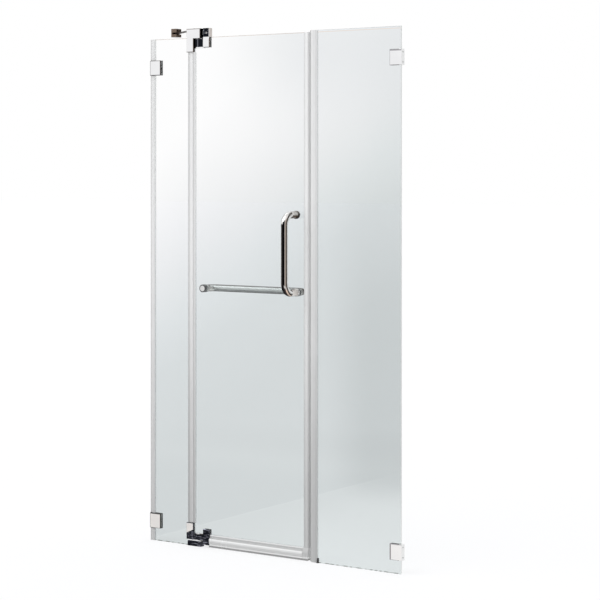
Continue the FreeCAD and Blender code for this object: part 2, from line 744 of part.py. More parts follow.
def pivot_base():
    """The floor block that carries the lower pin, and the nylon plate that lies on it."""
    base = new_body("bottom_pivot_base")
    solid(base, "Z", zero, d.base_height,
          box_corners(-d.base_left, d.base_right, -half_depth, half_depth))
    bevel(base, d.base_bevel, lies_at("Z", d.base_height))
    drill(base, "Z", d.base_height, -1, [(zero, zero)],
          d.pin_radius + d.fit_gap / 2, d.base_height - d.pin_floor)
    screw_spot = [(-d.limb_screw_out, zero)]
    drill(base, "Z", zero, 1, screw_spot, d.base_screw_radius + d.fit_gap,
          d.base_height, d.base_screw_head + d.fit_gap)
    plate = new_body("bottom_bearing_plate")
    inset = d.bearing_inset
    solid(plate, "Z", d.base_height, bearing_top,
          box_corners(-d.base_left + inset, d.base_right - inset,
                      -half_depth + inset, half_depth - inset))
    cut(plate, "Z", d.base_height, bearing_top,
        (0, 0, d.pin_radius + d.fit_gap),
        (-d.limb_screw_out, 0, d.base_screw_radius + d.fit_gap))


def round_bar(label, low, high, *circles):
    bar = new_body(label)
    solid(bar, "Z", low, high, *circles)
    return bar


def pivot_pins():
    bottom = round_bar("bottom_pivot_pin", d.pin_floor + d.fit_gap, bottom_arm_top - d.pin_recess,
                       (0, 0, d.pin_radius))
    bevel(bottom, d.pin_lead, lies_at("Z", bottom_arm_top - d.pin_recess))
    top = round_bar("top_pivot_pin", arm_low + d.pin_recess, pin_bore_top - d.fit_gap,
                    (0, 0, d.pin_radius))
    bevel(top, d.pin_lead, lies_at("Z", arm_low + d.pin_recess))


def base_screw():
    head = Vector(-d.limb_screw_out.number, 0, head_sunk.number)
    length = bearing_top + d.base_screw_grip
    group("pivot_base_screw", [countersunk_screw(
        head, Vector(0, 0, 1), number_of(length), number_of(d.base_screw_radius),
        number_of(d.base_screw_head), number_of(d.base_screw_socket))])


top_fixed_half()
bottom_fixed_half()
pivot_base()
pivot_pins()
base_screw()


# ---------------------------------------------------------------------------------------------
# Pivot hinges: door halves
# ---------------------------------------------------------------------------------------------

def arm(half, low, high):
    """The arm from the door block back to the pivot axis, rounded about that axis."""
    solid(half, "Z", low, high, box_corners(0, arm_end, -half_depth, half_depth))
    solid(half, "Z", low, high, (0, 0, d.knuckle_radius))


def glass_slot(half, low, high):
    """Room between the block's cheeks for the glass, its pads and the loose rear cover."""
    cut(half, "Y", -pad_face, half_depth, box_corners(arm_end, block_end, low, high))


def block_cover(label, low, high, levels):
    cover = new_body(label)
    solid(cover, "Y", pad_face, half_depth, box_corners(arm_end, block_end, low, high))
    bevel(cover, d.edge_bevel, lies_at("Y", half_depth))
    spots = [(d.block_screw_out, level) for level in levels]
    drill(cover, "Y", half_depth, -1, spots, tapped_radius, d.plate_thick, sunk_radius)


def bush(label, low, high, flange_low):
    """A flanged sleeve that the pin turns in."""
    bore = (0, 0, d.pin_radius + d.pin_play)
    sleeve = round_bar(label, low, high, (0, 0, d.bush_radius - d.bush_press), bore)
    solid(sleeve, "Z", flange_low, flange_low + d.bush_flange_thick, (0, 0, d.bush_flange), bore)


def block_screw_holes(half, levels):
    spots = [(d.block_screw_out, level) for level in levels]
    drill(half, "Y", -pad_face, -1, spots, tapped_radius, d.plate_thick - d.screw_tip_cover)


def top_door_half():
    """A riser beside the outer limb, a clamp on the door's corner and an arm to the pin."""
    half = new_body("top_hinge_door_body")
    solid(half, "Y", -half_depth, half_depth,
          box_corners(d.block_start, block_end, block_low, head_top))
    bevel(half, d.edge_bevel, either(lies_at("Y", -half_depth), lies_at("Y", half_depth)))
    arm(half, arm_low, arm_top)
    glass_slot(half, block_low, glass_top + d.gasket_thick)
    cut(half, "Y", -half_depth, -half_depth + d.block_step,
        box_corners(d.block_start, block_end, arm_top, head_top))
    cut(half, "Z", arm_low, arm_top, (0, 0, d.bush_radius))
    drill(half, "Y", -half_depth + d.block_step, 1, [set_screw_spot],
          d.set_screw_radius + d.fit_gap, d.set_screw_length + d.set_screw_recess)
    block_screw_holes(half, block_screw_levels()[:2])
    block_cover("top_hinge_door_cover", block_low, glass_top, block_screw_levels()[:2])
    bush("top_pivot_bush", arm_low, arm_top, arm_top)


def bottom_door_half():
    """The lower clamp, whose arm turns between the limb and the bearing plate."""
    half = new_body("bottom_hinge_door_body")
    solid(half, "Y", -half_depth, half_depth,
          box_corners(d.block_start, block_end, d.bottom_block_low, d.bottom_block_top))
    bevel(half, d.edge_bevel, either(lies_at("Y", -half_depth), lies_at("Y", half_depth)))
    arm(half, bottom_arm_low, bottom_arm_top)
    glass_slot(half, d.floor_gap - d.gasket_thick, bottom_arm_top)
    cut(half, "Y", -pad_face, half_depth,
        box_corners(d.block_start, block_end, bottom_arm_top, d.bottom_block_top))
    cut(half, "Z", bottom_arm_low, bottom_arm_top, (0, 0, d.bush_radius))
    block_screw_holes(half, block_screw_levels()[2:])
    block_cover("bottom_hinge_door_cover", d.floor_gap, d.bottom_block_top,
                block_screw_levels()[2:])
    bush("bottom_pivot_bush", bottom_arm_low, bottom_arm_top,
         bottom_arm_low - d.bush_flange_thick)


def riser_screw():
    """The adjusting screw that shows in the riser's face."""
    across, level = set_screw_spot
    face = -half_depth + d.block_step + d.set_screw_recess
    screw = new_body("hinge_adjusting_screw", across, 0, level)
    solid(screw, "Y", face, face + d.set_screw_length, (0, 0, d.set_screw_radius))
    bevel(screw, d.pin_lead, lies_at("Y", face))
    reach = d.set_screw_radius / 2
    corners = [(reach * math.cos(math.radians(60 * turn)), reach * math.sin(math.radians(60 * turn)))
               for turn in range(6)]
    cut(screw, "Y", face, face + d.set_screw_radius, corners)


top_door_half()
bottom_door_half()
riser_screw()


def hinge_gaskets_and_screws():
    """Clear pads on both faces of the glass, and the countersunk clamping screws."""
    y_axis = Vector(0, 1, 0)
    fixed_pads = []
    door_pads = []
    top_levels = block_screw_levels()[:2]
    low_levels = block_screw_levels()[2:]
    for near, far in ((-pad_face, -glass_half), (glass_half, pad_face)):
        fixed_pads.append(box_solid(limb_left, -d.panel_edge, near, far,
                                    glass_top - d.top_limb_drop, glass_top))
        fixed_pads.append(box_solid(limb_left, -d.panel_edge, near, far,
                                    bearing_top + notch_gap, d.bottom_limb_top))
        for low, high, levels in ((block_low, glass_top, top_levels),
                                  (d.floor_gap, d.bottom_block_top, low_levels)):
            pad = box_solid(d.notch_reach, block_end, near, far, low, high)
            spots = [(d.block_screw_out, 0, level) for level in levels]
            door_pads.append(drilled(pad, y_axis, spots, d.glass_hole_radius))
    group("fixed_hinge_gaskets", fixed_pads)
    group("door_hinge_gaskets", door_pads)
    group("fixed_hinge_screws",
          [clamping_screw(-d.limb_screw_out, level) for level in limb_screw_levels()])
    group("door_hinge_screws",
          [clamping_screw(d.block_screw_out, level) for level in block_screw_levels()])


hinge_gaskets_and_screws()


# ---------------------------------------------------------------------------------------------
# Clear seals
# ---------------------------------------------------------------------------------------------

def left_wall_seals():
    """Three lengths of channel between the floor, the clamps and the panel's top."""
    upper, lower = clamp_levels(left=True)
    half = d.clamp_height / 2 + d.seal_gap
    outer = glass_half + d.seal_wall
    tip = left_wall + d.wall_seal_width
    root = left_wall + d.wall_seal_web
    corners = [(left_wall, -outer), (tip, -outer), (tip, -glass_half), (root, -glass_half),
               (root, glass_half), (tip, glass_half), (tip, outer), (left_wall, outer)]
    spans = (("lower", zero, lower - half), ("middle", lower + half, upper - half),
             ("upper", upper + half, glass_top))
    for name, low, high in spans:
        solid(new_body("left_wall_seal_" + name), "Z", low, high, corners)


def hinge_side_seals():
    """One channel on the left panel and one on the door's heel, whose fins pass each other."""
    low = d.bottom_limb_top + d.seal_end_gap
    high = glass_top - d.top_limb_drop - d.seal_end_gap
    outer = glass_half + d.seal_wall
    edge = -d.panel_edge
    back = edge + d.seal_wall
    fixed = new_body("left_panel_edge_seal")
    solid(fixed, "Z", low, high, [
        (edge - d.edge_seal_leg, -outer), (edge + d.edge_fin, -outer),
        (edge + d.edge_fin, -glass_half), (back, -glass_half), (back, outer),
        (edge - d.edge_seal_leg, outer), (edge - d.edge_seal_leg, glass_half),
        (edge, glass_half), (edge, -glass_half), (edge - d.edge_seal_leg, -glass_half)])
    heel = new_body("door_heel_seal")
    heel_edge = -d.door_heel
    heel_back = heel_edge - d.seal_wall
    heel_tip = heel_edge - d.heel_fin
    fin_half = d.fin_thick / 2
    leg_tip = heel_edge + d.heel_seal_leg
    front_tip = heel_edge - d.heel_front_fin
    solid(heel, "Z", low, high, [
        (front_tip, -outer), (leg_tip, -outer), (leg_tip, -glass_half), (heel_edge, -glass_half),
        (heel_edge, glass_half), (leg_tip, glass_half), (leg_tip, outer), (heel_back, outer),
        (heel_back, fin_half), (heel_tip, fin_half), (heel_tip, -fin_half),
        (heel_back, -fin_half), (heel_back, -glass_half), (front_tip, -glass_half)])


def strike_seals():
    """The door's closing edge and the stop on the right panel that it closes against."""
    outer = glass_half + d.seal_wall
    edge = d.door_reach
    back = edge + d.seal_wall
    lip = back + d.strike_lip
    strike = new_body("door_strike_seal")
    solid(strike, "Z", d.drip_top, glass_top, [
        (edge - d.strike_leg, -outer), (back, -outer), (back, glass_half), (lip, glass_half),
        (lip, outer), (edge - d.strike_leg, outer), (edge - d.strike_leg, glass_half),
        (edge, glass_half), (edge, -glass_half), (edge - d.strike_leg, -glass_half)])
    tip = jamb_glass_edge + d.jamb_leg
    front = jamb_glass_edge - d.jamb_web
    flange_near = outer + d.strike_clear
    flange_far = flange_near + d.jamb_flange_thick
    flange_tip = front - d.jamb_flange
    jamb = new_body("right_panel_strike_seal")
    solid(jamb, "Z", zero, d.panel_height, [
        (front, -outer), (tip, -outer), (tip, -glass_half), (jamb_glass_edge, -glass_half),
        (jamb_glass_edge, glass_half), (tip, glass_half), (tip, outer), (jamb_glass_edge, outer),
        (jamb_glass_edge, flange_far), (flange_tip, flange_far), (flange_tip, flange_near),
        (front, flange_near)])
    wedge = new_body("right_panel_foot_wedge")
    solid(wedge, "X", tip, tip + d.foot_width, [
        (-d.foot_depth, 0), (-glass_half, 0), (-glass_half, d.foot_height),
        (-outer, d.foot_height)])


def drip_seal():
    """The sweep under the door: a channel, a rounded rail in front and two wipers."""
    start = block_end + d.drip_start_gap
    end = d.door_reach - d.drip_end_width
    outer = glass_half + d.seal_wall
    web_low = d.floor_gap - d.seal_wall * 2
    wiper = d.seal_wall / 2
    sweep = new_body("door_drip_seal")
    solid(sweep, "X", start, end, [
        (outer, d.drip_top), (glass_half, d.drip_top), (glass_half, d.floor_gap),
        (-glass_half, d.floor_gap), (-glass_half, d.drip_top), (-outer, d.drip_top),
        (-outer, d.drip_rail_top), (-d.drip_bulge, d.drip_shoulder),
        (-d.drip_bulge, d.drip_rail_low), (-d.drip_groove, d.drip_rail_low - d.seal_wall),
        (-d.drip_lip, d.drip_low), (-d.drip_lip + d.seal_wall, d.drip_low),
        (-outer, web_low), (-glass_half, web_low), (-glass_half, d.drip_low),
        (-glass_half + wiper, d.drip_low), (-glass_half + d.seal_wall, web_low),
        (outer, web_low)])
    rail = either(both(lies_at("Y", -d.drip_bulge), lies_at("Z", d.drip_shoulder)),
                  both(lies_at("Y", -d.drip_bulge), lies_at("Z", d.drip_rail_low)))
    round_over(sweep, d.drip_round, rail)
    block = new_body("drip_seal_end_block")
    front = -d.drip_groove
    solid(block, "X", end, d.door_reach + d.seal_wall, [
        (outer, d.drip_low), (outer, d.drip_top), (-outer, d.drip_top), (front, d.drip_shoulder),
        (front, d.drip_low + d.seal_wall * 2), (-d.drip_lip, d.drip_low + d.seal_wall),
        (-d.drip_lip, d.drip_low)])
    cut(block, "Y", -glass_half, glass_half,
        box_corners(end, d.door_reach, d.floor_gap, d.drip_top))
    middle = (d.floor_gap + d.drip_shoulder) / 2
    solid(block, "Y", front - d.seal_wall / 2, front,
          (end + d.drip_end_width / 2, middle, d.drip_button))


left_wall_seals()
hinge_side_seals()
strike_seals()
drip_seal()


# ---------------------------------------------------------------------------------------------
# Pull handle and towel bar
# ---------------------------------------------------------------------------------------------

def near_end(sketch, arc, point):
    """Which end of an arc lies at a point: 1 for its start, 2 for its end."""
    return 1 if sketch.getPoint(arc, 1).distanceToPoint(point) < TOUCH else 2


def path_sketch(item, axis, runs, bend):
    """Straight runs joined by quarter turns.  A run is two points, in the order of the path."""
    sketch = new_sketch(item, axis, zero)
    points = [[Vector(number_of(across), number_of(up), 0) for across, up in run] for run in runs]
    for index, (start, end) in enumerate(points):
        sketch.addGeometry(Part.LineSegment(start, end))
        pin_point(sketch, index, 1, *runs[index][0])
        pin_point(sketch, index, 2, *runs[index][1])
    for index in range(len(runs) - 1):
        start = points[index][1]
        end = points[index + 1][0]
        along = (points[index][1] - points[index][0]).normalize()
        centre = end - along * number_of(bend)
        outward = ((start - centre) + (end - centre)).normalize() * number_of(bend)
        arc = sketch.addGeometry(Part.Arc(start, centre + outward, end))
        sketch.addConstraint(Sketcher.Constraint(
            "Coincident", index, 2, arc, near_end(sketch, arc, start)))
        sketch.addConstraint(Sketcher.Constraint(
            "Coincident", index + 1, 1, arc, near_end(sketch, arc, end)))
        mark = sketch.addConstraint(Sketcher.Constraint("Radius", arc, number_of(bend)))
        sketch.setExpression("Constraints[%d]" % mark, bend.text)
    return sketch


def bent_tube(label, x, z, axis, runs, bend, start_level):
    """A hollow tube swept along a path that starts square to the glass."""
    tube = new_body(label, x, 0, z)
    path = path_sketch(tube, axis, runs, bend)
    ring = new_sketch(tube, "Y", start_level)
    draw_circle(ring, 0, 0, d.tube_radius)
    draw_circle(ring, 0, 0, d.tube_radius - d.tube_wall)
    doc.recompute()
    pipe = tube.newObject("PartDesign::AdditivePipe", label + "_pipe")
    pipe.Profile = ring
    pipe.Spine = path
    doc.recompute()


def pull_handle():
    reach = -d.handle_reach
    bend = d.handle_bend
    runs = [[(-rosette_face, 0), (reach + bend, 0)],
            [(reach, bend), (reach, d.handle_span - bend)],
            [(reach + bend, d.handle_span), (-rosette_face, d.handle_span)]]
    bent_tube("pull_handle", handle_out, d.handle_low, "X", runs, bend, -rosette_face)


def towel_bar():
    reach = d.towel_reach
    bend = d.towel_bend
    runs = [[(0, rosette_face), (0, reach - bend)],
            [(bend, reach), (towel_span - bend, reach)],
            [(towel_span, reach - bend), (towel_span, rosette_face)]]
    bent_tube("towel_bar", d.towel_left, d.handle_low, "Z", runs, bend, rosette_face)


def mount_fittings():
    """Rosettes, caps, washers, end plugs and the studs that join them through the glass."""
    bore = number_of(d.stud_radius + d.fit_gap)
    rim = number_of(d.rosette_radius)
    deep = number_of(d.rosette_thick)
    edge = number_of(d.rosette_bevel)
    inner_rim = number_of(d.inner_cap_radius)
    inner_deep = number_of(d.inner_cap_thick)
    thin = number_of(d.washer_thick)
    plug = number_of(d.tube_radius - d.tube_wall - d.fit_gap)
    plug_deep = number_of(d.stud_into_tube)
    rosette = [(bore, 0), (rim, 0), (rim, deep - edge), (rim - edge, deep), (bore, deep)]
    plug_shape = [(bore, 0), (plug, 0), (plug, plug_deep), (bore, plug_deep)]
    upper, shared, far_left = [(number_of(x), number_of(z)) for x, z in mount_spots()]
    outside = Vector(0, -1, 0)
    inside = Vector(0, 1, 0)
    tube_ends = ((upper, outside), (shared, outside), (shared, inside), (far_left, inside))
    cap_ends = ((upper, inside, inner_rim, inner_deep), (far_left, outside, rim, deep))

    def on_glass(spot, side, level):
        return Vector(spot[0], 0, spot[1]) + side * number_of(level)

    def cap(radius, height):
        blind = height - edge
        return [(bore, 0), (radius, 0), (radius, blind), (radius - edge, height), (0, height),
                (0, blind), (bore, blind)]

    def washer(radius):
        return [(bore, 0), (radius, 0), (radius, thin), (bore, thin)]

    group("mount_rosettes", [turned(rosette, on_glass(spot, side, mount_face), side)
                             for spot, side in tube_ends])
    group("tube_end_plugs", [turned(plug_shape, on_glass(spot, side, rosette_face), side)
                             for spot, side in tube_ends])
    group("mount_caps", [turned(cap(radius, height), on_glass(spot, side, mount_face), side)
                         for spot, side, radius, height in cap_ends])
    pads = [(spot, side, rim) for spot, side in tube_ends]
    pads += [(spot, side, radius) for spot, side, radius, height in cap_ends]
    group("mount_washers", [turned(washer(radius), on_glass(spot, side, glass_half), side)
                            for spot, side, radius in pads])
    tube_reach = number_of(rosette_face) + plug_deep
    cap_foot = number_of(mount_face - d.fit_gap) - edge
    studs = []
    for spot, front, back in ((upper, tube_reach, cap_foot + inner_deep),
                              (shared, tube_reach, tube_reach),
                              (far_left, cap_foot + deep, tube_reach)):
        studs.append(Part.makeCylinder(number_of(d.stud_radius), front + back,
                                       on_glass(spot, outside, front), inside))
    group("through_studs", studs)


pull_handle()
towel_bar()
mount_fittings()


# ---------------------------------------------------------------------------------------------
# Support brace from the top hinge to the left wall
# ---------------------------------------------------------------------------------------------

def wall_bracket():
    """A fork on the wall behind the door plane, screwed on through its upper jaw."""
    bracket = new_body("brace_wall_bracket", left_wall, d.bracket_back, glass_top)
    side = d.bracket_width / 2
    low = d.bracket_low
    high = d.bracket_low + d.bracket_height
    solid(bracket, "Z", low, high, box_corners(0, d.bracket_depth, -side, side))
    bevel(bracket, d.edge_bevel, lies_at("X", d.bracket_depth))
    cut(bracket, "Z", d.brace_rise - d.bracket_slot / 2, d.brace_rise + d.bracket_slot / 2,
        box_corners(d.bracket_flange, d.bracket_depth, -side, side))
    spots = [(d.bracket_hole_pitch / 2, d.bracket_hole_rise),
             (-d.bracket_hole_pitch / 2, d.bracket_hole_rise)]
    drill(bracket, "X", d.bracket_depth, -1, spots, d.bracket_hole_radius, d.bracket_depth)
    drill(bracket, "X", d.bracket_depth, -1, spots, d.bracket_counterbore,
          d.bracket_depth - d.bracket_flange)
    drill(bracket, "Z", high, -1, [(d.bracket_pin_out, zero)],
          d.brace_pin_radius + d.fit_gap, d.bracket_height - d.screw_tip_cover,
          d.brace_pin_head + d.fit_gap)


def brace_rod():
    """A round rod with a flat eye at each end, at its own slant across the corner."""
    across = -d.lug_left - left_wall - d.bracket_pin_out
    back = d.bracket_back - d.lug_back
    length = Size(math.hypot(across.number, back.number),
                  "sqrt((%s) * (%s) + (%s) * (%s))" % (across.text, across.text,
                                                       back.text, back.text))
    slant = -math.degrees(math.atan2(back.number, across.number))
    rod = new_body("brace_rod", left_wall + d.bracket_pin_out, d.bracket_back,
                   glass_top + d.brace_rise, FreeCAD.Rotation(Vector(0, 0, 1), slant))
    half = d.brace_eye_thick / 2
    neck = d.brace_eye_radius - d.edge_bevel
    tongue = d.brace_tongue
    solid(rod, "X", tongue - d.brace_radius, length - tongue + d.brace_radius,
          (0, 0, d.brace_radius))
    solid(rod, "Z", -half, half, box_corners(0, tongue, -neck, neck))
    solid(rod, "Z", -half, half, box_corners(length - tongue, length, -neck, neck))
    solid(rod, "Z", -half, half, (0, 0, d.brace_eye_radius))
    solid(rod, "Z", -half, half, (length, 0, d.brace_eye_radius))
    eye = d.brace_pin_radius + d.fit_gap
    cut(rod, "Z", -half, half, (0, 0, eye), (length, 0, eye))


def hinge_lug():
    """A post on the back of the top hinge, under the rod's eye."""
    post_top = d.brace_rise - d.brace_eye_thick / 2
    lug = new_body("brace_hinge_lug", -d.lug_left, 0, glass_top)
    plate = d.lug_radius
    solid(lug, "Y", half_depth, half_depth + d.lug_plate,
          box_corners(-plate, plate, d.lug_low - d.lug_foot, post_top))
    solid(lug, "Z", d.lug_low, post_top, box_corners(-plate, plate, half_depth, d.lug_back))
    solid(lug, "Z", d.lug_low, post_top, (0, d.lug_back, d.lug_radius))
    drill(lug, "Y", half_depth + d.lug_plate, -1, [(zero, lug_screw_rise)],
          tapped_radius, d.lug_plate, sunk_radius)
    drill(lug, "Z", post_top, -1, [(zero, d.lug_back)], d.brace_pin_radius + d.fit_gap,
          post_top - d.lug_low - d.screw_tip_cover)


def brace_screws():
    radius = number_of(d.brace_pin_radius)
    head = number_of(d.brace_pin_head)
    socket = number_of(d.screw_socket)
    down = Vector(0, 0, -1)
    bracket_top = glass_top + d.bracket_low + d.bracket_height - head_sunk
    length = d.bracket_height - d.screw_tip_cover - d.fit_gap * 2
    at = Vector(number_of(left_wall + d.bracket_pin_out), number_of(d.bracket_back),
                number_of(bracket_top))
    group("brace_bracket_pin",
          [countersunk_screw(at, down, number_of(length), radius, head, socket)])
    eye_top = number_of(d.brace_rise + d.brace_eye_thick / 2)
    low = number_of(d.lug_low + d.screw_tip_cover + d.fit_gap)
    head_high = number_of(d.eye_screw_head)
    profile = [(0, low), (radius, low), (radius, eye_top), (head, eye_top),
               (head, eye_top + head_high / 2), (head - head_high / 2, eye_top + head_high),
               (0, eye_top + head_high)]
    foot = Vector(-d.lug_left.number, d.lug_back.number, number_of(glass_top))
    group("brace_eye_screw", [turned(profile, foot)])
    lug_head = Vector(-d.lug_left.number, number_of(half_depth + d.lug_plate - head_sunk),
                      number_of(glass_top + lug_screw_rise))
    group("brace_lug_screw", [countersunk_screw(
        lug_head, Vector(0, -1, 0), number_of(d.lug_plate + d.lug_screw_grip),
        number_of(d.screw_radius), number_of(d.screw_head_radius), number_of(d.screw_socket))])


wall_bracket()
brace_rod()
hinge_lug()
brace_screws()


# ---------------------------------------------------------------------------------------------
# Checks and export
# ---------------------------------------------------------------------------------------------

doc.recompute()
for item in doc.Objects:
    if "Invalid" in item.State or "Error" in item.State:
        raise RuntimeError("%s failed" % item.Label)
for piece in pieces:
    if piece.Shape.isNull() or not piece.Shape.isValid():
        raise RuntimeError("%s has no valid shape" % piece.Label)
os.makedirs("parts", exist_ok=True)
for piece in pieces:
    piece.Shape.exportStep("parts/%s.step" % piece.Label)
print("%d pieces, %d solids" % (len(pieces), sum(len(piece.Shape.Solids) for piece in pieces)))
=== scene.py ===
import json
import math

import bpy
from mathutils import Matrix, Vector


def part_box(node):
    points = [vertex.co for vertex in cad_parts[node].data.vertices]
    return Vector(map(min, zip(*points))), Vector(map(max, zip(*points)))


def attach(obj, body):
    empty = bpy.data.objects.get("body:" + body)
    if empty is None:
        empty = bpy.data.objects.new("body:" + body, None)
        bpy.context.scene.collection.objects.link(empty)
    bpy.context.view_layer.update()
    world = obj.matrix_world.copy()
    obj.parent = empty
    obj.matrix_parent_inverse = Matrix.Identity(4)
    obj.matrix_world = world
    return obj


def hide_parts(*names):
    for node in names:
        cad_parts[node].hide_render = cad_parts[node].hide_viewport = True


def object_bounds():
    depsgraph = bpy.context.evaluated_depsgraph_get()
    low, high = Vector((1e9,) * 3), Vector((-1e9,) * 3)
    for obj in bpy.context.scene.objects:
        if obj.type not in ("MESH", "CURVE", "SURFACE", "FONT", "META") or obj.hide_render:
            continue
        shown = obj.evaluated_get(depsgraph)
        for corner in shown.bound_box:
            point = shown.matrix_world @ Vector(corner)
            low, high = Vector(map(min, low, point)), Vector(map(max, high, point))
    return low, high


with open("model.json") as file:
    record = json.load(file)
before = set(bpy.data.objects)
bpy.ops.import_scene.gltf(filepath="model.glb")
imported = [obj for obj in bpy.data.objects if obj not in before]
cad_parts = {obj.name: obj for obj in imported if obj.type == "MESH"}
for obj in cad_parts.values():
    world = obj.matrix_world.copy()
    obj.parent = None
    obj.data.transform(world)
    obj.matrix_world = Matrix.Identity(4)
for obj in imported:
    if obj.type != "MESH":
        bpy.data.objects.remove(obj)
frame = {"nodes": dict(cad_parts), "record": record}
CAD_BOX = [list(corner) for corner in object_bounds()]
NODES = frame["nodes"]


# ---------------------------------------------------------------------------------------------
# Small node-graph builder
# ---------------------------------------------------------------------------------------------

# The colour sockets of a Mix node, which share their names with its number and vector sockets.
COLOUR_A = 6
COLOUR_B = 7
COLOUR_OUT = 2


class Graph:
    """A node tree with short calls for the nodes that the materials use."""

    def __init__(self, tree):
        self.tree = tree
        tree.nodes.clear()

    def node(self, kind, **settings):
        made = self.tree.nodes.new(kind)
        for key, value in settings.items():
            setattr(made, key, value)
        return made

    def plug(self, value, socket):
        """A number or colour goes on the socket itself, and a socket is linked to it."""
        if isinstance(value, bpy.types.NodeSocket):
            self.tree.links.new(value, socket)
        elif socket.type == "RGBA" and len(value) == 3:
            socket.default_value = (*value, 1.0)
        else:
            socket.default_value = value

    def math(self, operation, a, b=0.0):
        made = self.node("ShaderNodeMath", operation=operation)
        self.plug(a, made.inputs[0])
        self.plug(b, made.inputs[1])
        return made.outputs[0]

    def plus(self, a, b):
        return self.math("ADD", a, b)

    def minus(self, a, b):
        return self.math("SUBTRACT", a, b)

    def times(self, a, b):
        return self.math("MULTIPLY", a, b)

    def absolute(self, a):
        return self.math("ABSOLUTE", a)

    def unless(self, mask):
        """The mask turned round: 0 where it is 1."""
        return self.minus(1.0, mask)

    def either(self, *masks):
        """The largest of several masks."""
        result = masks[0]
        for mask in masks[1:]:
            result = self.math("MAXIMUM", result, mask)
        return result

    def length(self, a, b):
        """How long the flat vector (a, b) is."""
        return self.math("SQRT", self.plus(self.times(a, a), self.times(b, b)))

    def rise(self, value, low, high):
        """0 below low and 1 above high."""
        return self.span(value, low, high, 0.0, 1.0)

    def fall(self, value, low, high):
        """1 below low and 0 above high."""
        return self.span(value, low, high, 1.0, 0.0)

    def band(self, value, low, high, soft):
        """1 where value is between low and high, with soft sides."""
        return self.times(self.rise(value, low - soft, low + soft),
                          self.fall(value, high - soft, high + soft))

    def span(self, value, low, high, out_low, out_high):
        """out_low below low and out_high above high, with a smooth change between them."""
        made = self.node("ShaderNodeMapRange", interpolation_type="SMOOTHSTEP")
        self.plug(value, made.inputs["Value"])
        for name, number in (("From Min", low), ("From Max", high),
                             ("To Min", out_low), ("To Max", out_high)):
            made.inputs[name].default_value = number
        return made.outputs["Result"]

    def blend(self, factor, a, b):
        """Colour a where factor is 0 and colour b where it is 1."""
        made = self.node("ShaderNodeMix", data_type="RGBA")
        self.plug(factor, made.inputs["Factor"])
        self.plug(a, made.inputs[COLOUR_A])
        self.plug(b, made.inputs[COLOUR_B])
        return made.outputs[COLOUR_OUT]

    def ramp(self, factor, stops):
        made = self.node("ShaderNodeValToRGB")
        elements = made.color_ramp.elements
        while len(elements) < len(stops):
            elements.new(0.5)
        for element, (place, colour) in zip(elements, stops):
            element.position = place
            element.color = (*colour, 1.0)
        self.plug(factor, made.inputs["Fac"])
        return made.outputs["Color"]

    def object_place(self):
        """The place on the piece at rest, in metres, because a piece's origin is the frame's."""
        return self.node("ShaderNodeTexCoord").outputs["Object"]

    def facing(self):
        """The three parts of the surface's direction, in the piece's own axes, so it rides."""
        return self.axes(self.node("ShaderNodeTexCoord").outputs["Normal"])

    def axes(self, vector):
        made = self.node("ShaderNodeSeparateXYZ")
        self.plug(vector, made.inputs[0])
        return made.outputs[0], made.outputs[1], made.outputs[2]

    def scaled(self, vector, scale):
        made = self.node("ShaderNodeMapping")
        self.plug(vector, made.inputs["Vector"])
        made.inputs["Scale"].default_value = scale
        return made.outputs[0]

    def noise(self, vector, scale, detail=2.0, roughness=0.5):
        made = self.node("ShaderNodeTexNoise")
        self.plug(vector, made.inputs["Vector"])
        made.inputs["Scale"].default_value = scale
        made.inputs["Detail"].default_value = detail
        made.inputs["Roughness"].default_value = roughness
        return made.outputs["Fac"]

    def bump(self, height, strength, distance):
        made = self.node("ShaderNodeBump")
        made.inputs["Strength"].default_value = strength
        made.inputs["Distance"].default_value = distance
        self.plug(height, made.inputs["Height"])
        return made.outputs["Normal"]

    def ray(self, *kinds):
        """1 on a ray of one of these kinds."""
        path = self.node("ShaderNodeLightPath")
        return self.either(*[path.outputs[kind] for kind in kinds])

    def mirror_ray(self):
        """1 on a ray that metal or a glass face has mirrored before it came here."""
        path = self.node("ShaderNodeLightPath")
        return self.math("GREATER_THAN", path.outputs["Glossy Depth"], 0.5)

    def shader(self, kind="BsdfPrincipled", **inputs):
        """A shader of one kind; underscores in an input's name stand for spaces."""
        made = self.node("ShaderNode" + kind)
        for key, value in inputs.items():
            self.plug(value, made.inputs[key.replace("_", " ")])
        return made.outputs[0]

    def mixed(self, factor, a, b):
        """Shader a where factor is 0 and shader b where it is 1."""
        made = self.node("ShaderNodeMixShader")
        self.plug(factor, made.inputs[0])
        self.tree.links.new(a, made.inputs[1])
        self.tree.links.new(b, made.inputs[2])
        return made.outputs[0]

    def finish(self, surface, kind="OutputMaterial"):
        out = self.node("ShaderNode" + kind)
        self.tree.links.new(surface, out.inputs["Surface"])


def new_material(name):
    made = bpy.data.materials.new(name)
    made.use_nodes = True
    return made, Graph(made.node_tree)


def let_lamps_through(g, surface, tint):
    """Lamps and soft light pass clear plastic and glass straight, so they cast pale shadows."""
    clear = g.shader("BsdfTransparent", Color=tint)
    return g.mixed(g.ray("Is Shadow Ray", "Is Diffuse Ray"), surface, clear)


# ---------------------------------------------------------------------------------------------
# Materials
# ---------------------------------------------------------------------------------------------

# Part of the chrome's light and dark is painted rather than mirrored.  The tones are laid out
# in a piece's own axes, so they ride with it.  Their places follow the photograph's viewpoint.

